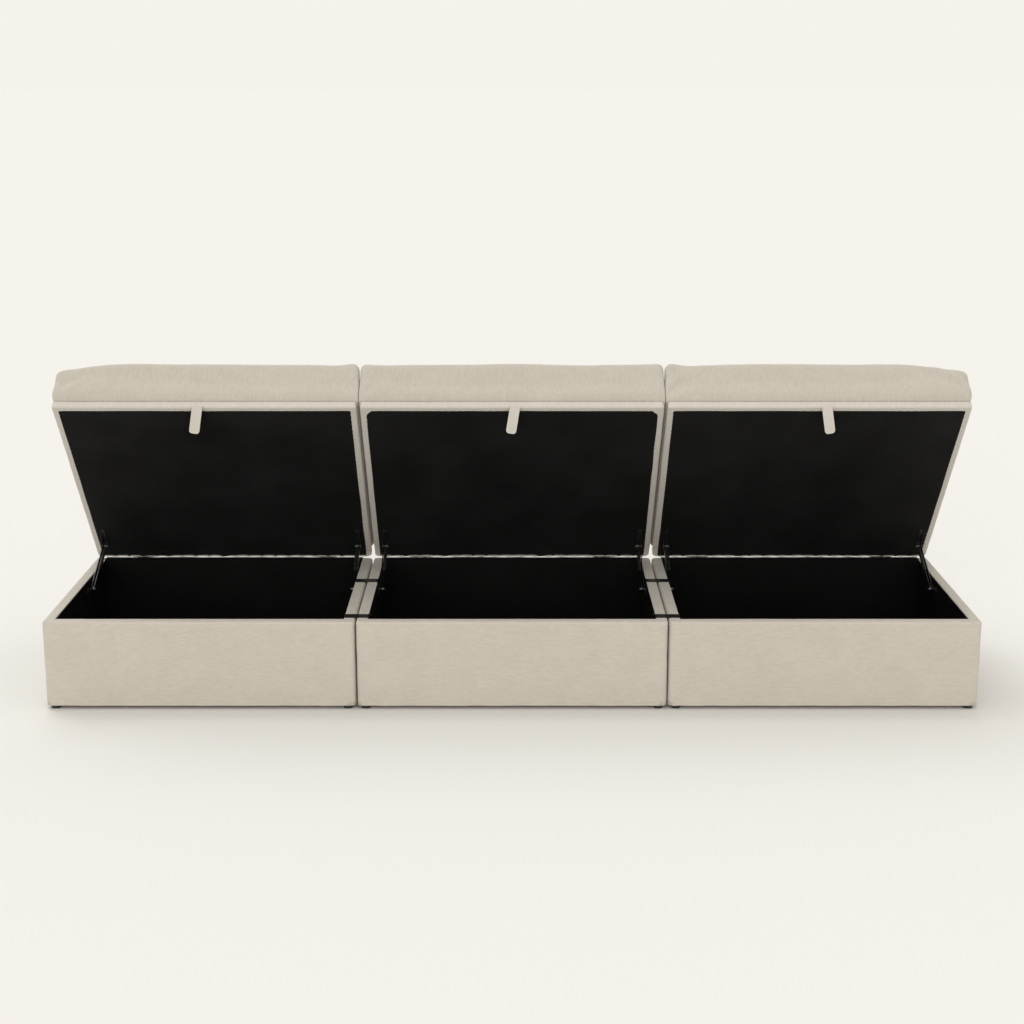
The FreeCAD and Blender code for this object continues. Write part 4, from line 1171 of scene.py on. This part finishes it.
def make_glides():
    """Round plastic glides, dished underneath, each on its nail."""
    bm = bmesh.new()
    radius, top = GLIDE / 2, GLIDE_HEIGHT
    outline = [
        (0, 1 * MM), (0.55 * radius, 0.8 * MM), (0.7 * radius, 0), (0.88 * radius, 0),
        (0.97 * radius, 0.12 * top), (radius, 0.3 * top), (radius, 0.85 * top), (0.95 * radius, top),
        (2.5 * MM, top),
    ]
    for low, high in solids("feet"):
        centre = ((low.x + high.x) / 2, (low.y + high.y) / 2, 0)
        add(bm, turned([*outline, (2.5 * MM, high.z - 1 * MM), (0, high.z)]), Matrix.Translation(centre))
    base_fitting("glides", bm, plastic, "feet")


# Staples and stitches
def make_staples(module):
    """Wire staples that hold the black cloth along the lid's sides and front."""
    place = lid_frame(module)
    low, high = node_box(f"lid_lining_{module}", place)
    cut = CUT_CORNERS[module] + 15 * MM
    inset = 4.5 * MM
    spots = []
    middle = (low + high) / 2

    def steps(length):
        count = int((length - 2 * cut) / STAPLE_PITCH)
        return [step * STAPLE_PITCH for step in range(-count // 2 + 1, count // 2)]

    for step in steps(high.y - low.y):
        y = middle.y + REAR_HANG / 2 + step
        spots += [(low.x + inset, y, True), (high.x - inset, y, True)]
    spots += [(middle.x + step, low.y + inset, False) for step in steps(high.x - low.x)]
    bm = bmesh.new()
    for x, y, upright in spots:
        across, deep = (STAPLE_WIRE, STAPLE_CROWN) if upright else (STAPLE_CROWN, STAPLE_WIRE)
        size = Vector((across, deep, 0.6 * MM))
        centre = Vector((x, y, low.z - 0.15 * MM))
        crown = box_mesh(centre - size / 2, centre + size / 2)
        lower = [e for e in crown.edges if all(v.co.z < centre.z for v in e.verts)]
        rounded(crown, lower, 0.25 * MM, 1)
        add(bm, crown)
    lid_fitting("staples", module, bm, black_zinc, "zinc_steel")


def stitches(low, high, corner):
    """A row of stitches round a hem, on both faces: short threads that stand a little proud."""
    bm = bmesh.new()
    half = (high.x - low.x) / 2 - STITCH_INSET
    down = low.z + STITCH_INSET
    reach = high.z - 12 * MM
    bend = corner - STITCH_INSET
    turns = [(bend * math.sin(a), bend * math.cos(a)) for a in (0.4, 0.8, 1.2)]
    path = [Vector((-half, reach)), Vector((-half, down + bend))]
    path += [Vector((-half + bend - far, down + bend - near)) for near, far in turns]
    path += [Vector((-half + bend, down)), Vector((half - bend, down))]
    path += [Vector((half - bend + near, down + bend - far)) for near, far in turns]
    path += [Vector((half, down + bend)), Vector((half, reach))]
    thick, third, tip = 0.35 * MM, STITCH_LENGTH / 3, STITCH_LENGTH / 2
    walked, due = 0.0, 0.0
    for start, end in zip(path, path[1:]):
        run = (end - start).length
        while due < walked + run:
            spot = start + (end - start) * (due - walked) / run
            way = Vector((end.x - start.x, 0, end.y - start.y)).normalized()
            stitch = turned([(0, -tip), (thick, -third), (thick, third), (0, tip)], 6)
            add(bm, stitch, lying(way, (spot.x, 0, spot.y)))
            due += STITCH_PITCH
        walked += run
    return bm


for number, module in enumerate(MODULES):
    make_box_cover(module, 3.1 + number)
    make_box_lining(module, 11.7 + number)
    make_lid_band(module, 23.9 + number)
    make_lid_cloth(module, 31.3 + number)
    make_cushion(module, 41.5 + number)
    make_pull_tab(module)
    make_lid_brackets(module)
    make_lid_screws(module)
    make_staples(module)
    for side in SIDES:
        make_rod(module, side)
        make_cylinder(module, side)
        make_stay_bar(module, side)
make_base_brackets()
make_base_fasteners()
make_hinges()
make_clips()
make_glides()


# Floor, light and camera
BACKGROUND = srgb(245, 242, 235)
FLOOR_REACH = 400
CAMERA_DISTANCE, CAMERA_HEIGHT, CAMERA_PITCH = 5.843, 1.959, 15.02
# each light's name, strength, height and way round in degrees, softness in degrees, and colour
LIGHTS = (
    ("broad front light", 1.55, 10, -8, 50, (0.91, 0.88, 0.82)),
    ("soft light from above and behind", 1.35, 56, 204, 40, (0.86, 0.88, 0.89)),
)
ground = bpy.data.meshes.new("floor")
bm = bmesh.new()
bmesh.ops.create_grid(bm, x_segments=1, y_segments=1, size=FLOOR_REACH)
bm.to_mesh(ground)
bm.free()
floor = bpy.data.objects.new("floor", ground)
bpy.context.scene.collection.objects.link(floor)
paper = Nodes("studio floor")
# far from the sofa the floor comes out as bright as the background
floor_tone = []
for i, level in enumerate(BACKGROUND[:3]):
    falling = sum(light[1] * math.sin(math.radians(light[2])) * light[5][i] for light in LIGHTS)
    floor_tone.append(level / (level + falling / math.pi))
paper_tone = (*floor_tone, 1)
floor.data.materials.append(paper.finish(Base_Color=paper_tone, Roughness=1.0, Specular_IOR_Level=0.0))

world = bpy.data.worlds.new("studio")
bpy.context.scene.world = world
world.use_nodes = True
sky = world.node_tree.nodes["Background"]
sky.inputs["Color"].default_value = BACKGROUND
sky.inputs["Strength"].default_value = 1.0

for name, strength, height, way_round, softness, colour in LIGHTS:
    sun = bpy.data.lights.new(name, "SUN")
    sun.energy = strength
    sun.color = colour
    sun.angle = math.radians(softness)
    lamp = bpy.data.objects.new(name, sun)
    lamp.rotation_euler = (math.radians(90 - height), 0, math.radians(way_round))
    bpy.context.scene.collection.objects.link(lamp)

camera = bpy.data.cameras.new("camera")
camera.sensor_width = 36
camera.lens = 67.15
camera.shift_y = 0.078
camera.clip_end = 2000
eye = bpy.data.objects.new("camera", camera)
front_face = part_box("base_cover_middle")[0].y
eye.location = (0, front_face - CAMERA_DISTANCE, CAMERA_HEIGHT)
eye.rotation_euler = (math.radians(90 - CAMERA_PITCH), 0, 0)
bpy.context.scene.collection.objects.link(eye)
bpy.context.scene.camera = eye
bpy.context.scene.view_settings.view_transform = "Standard"
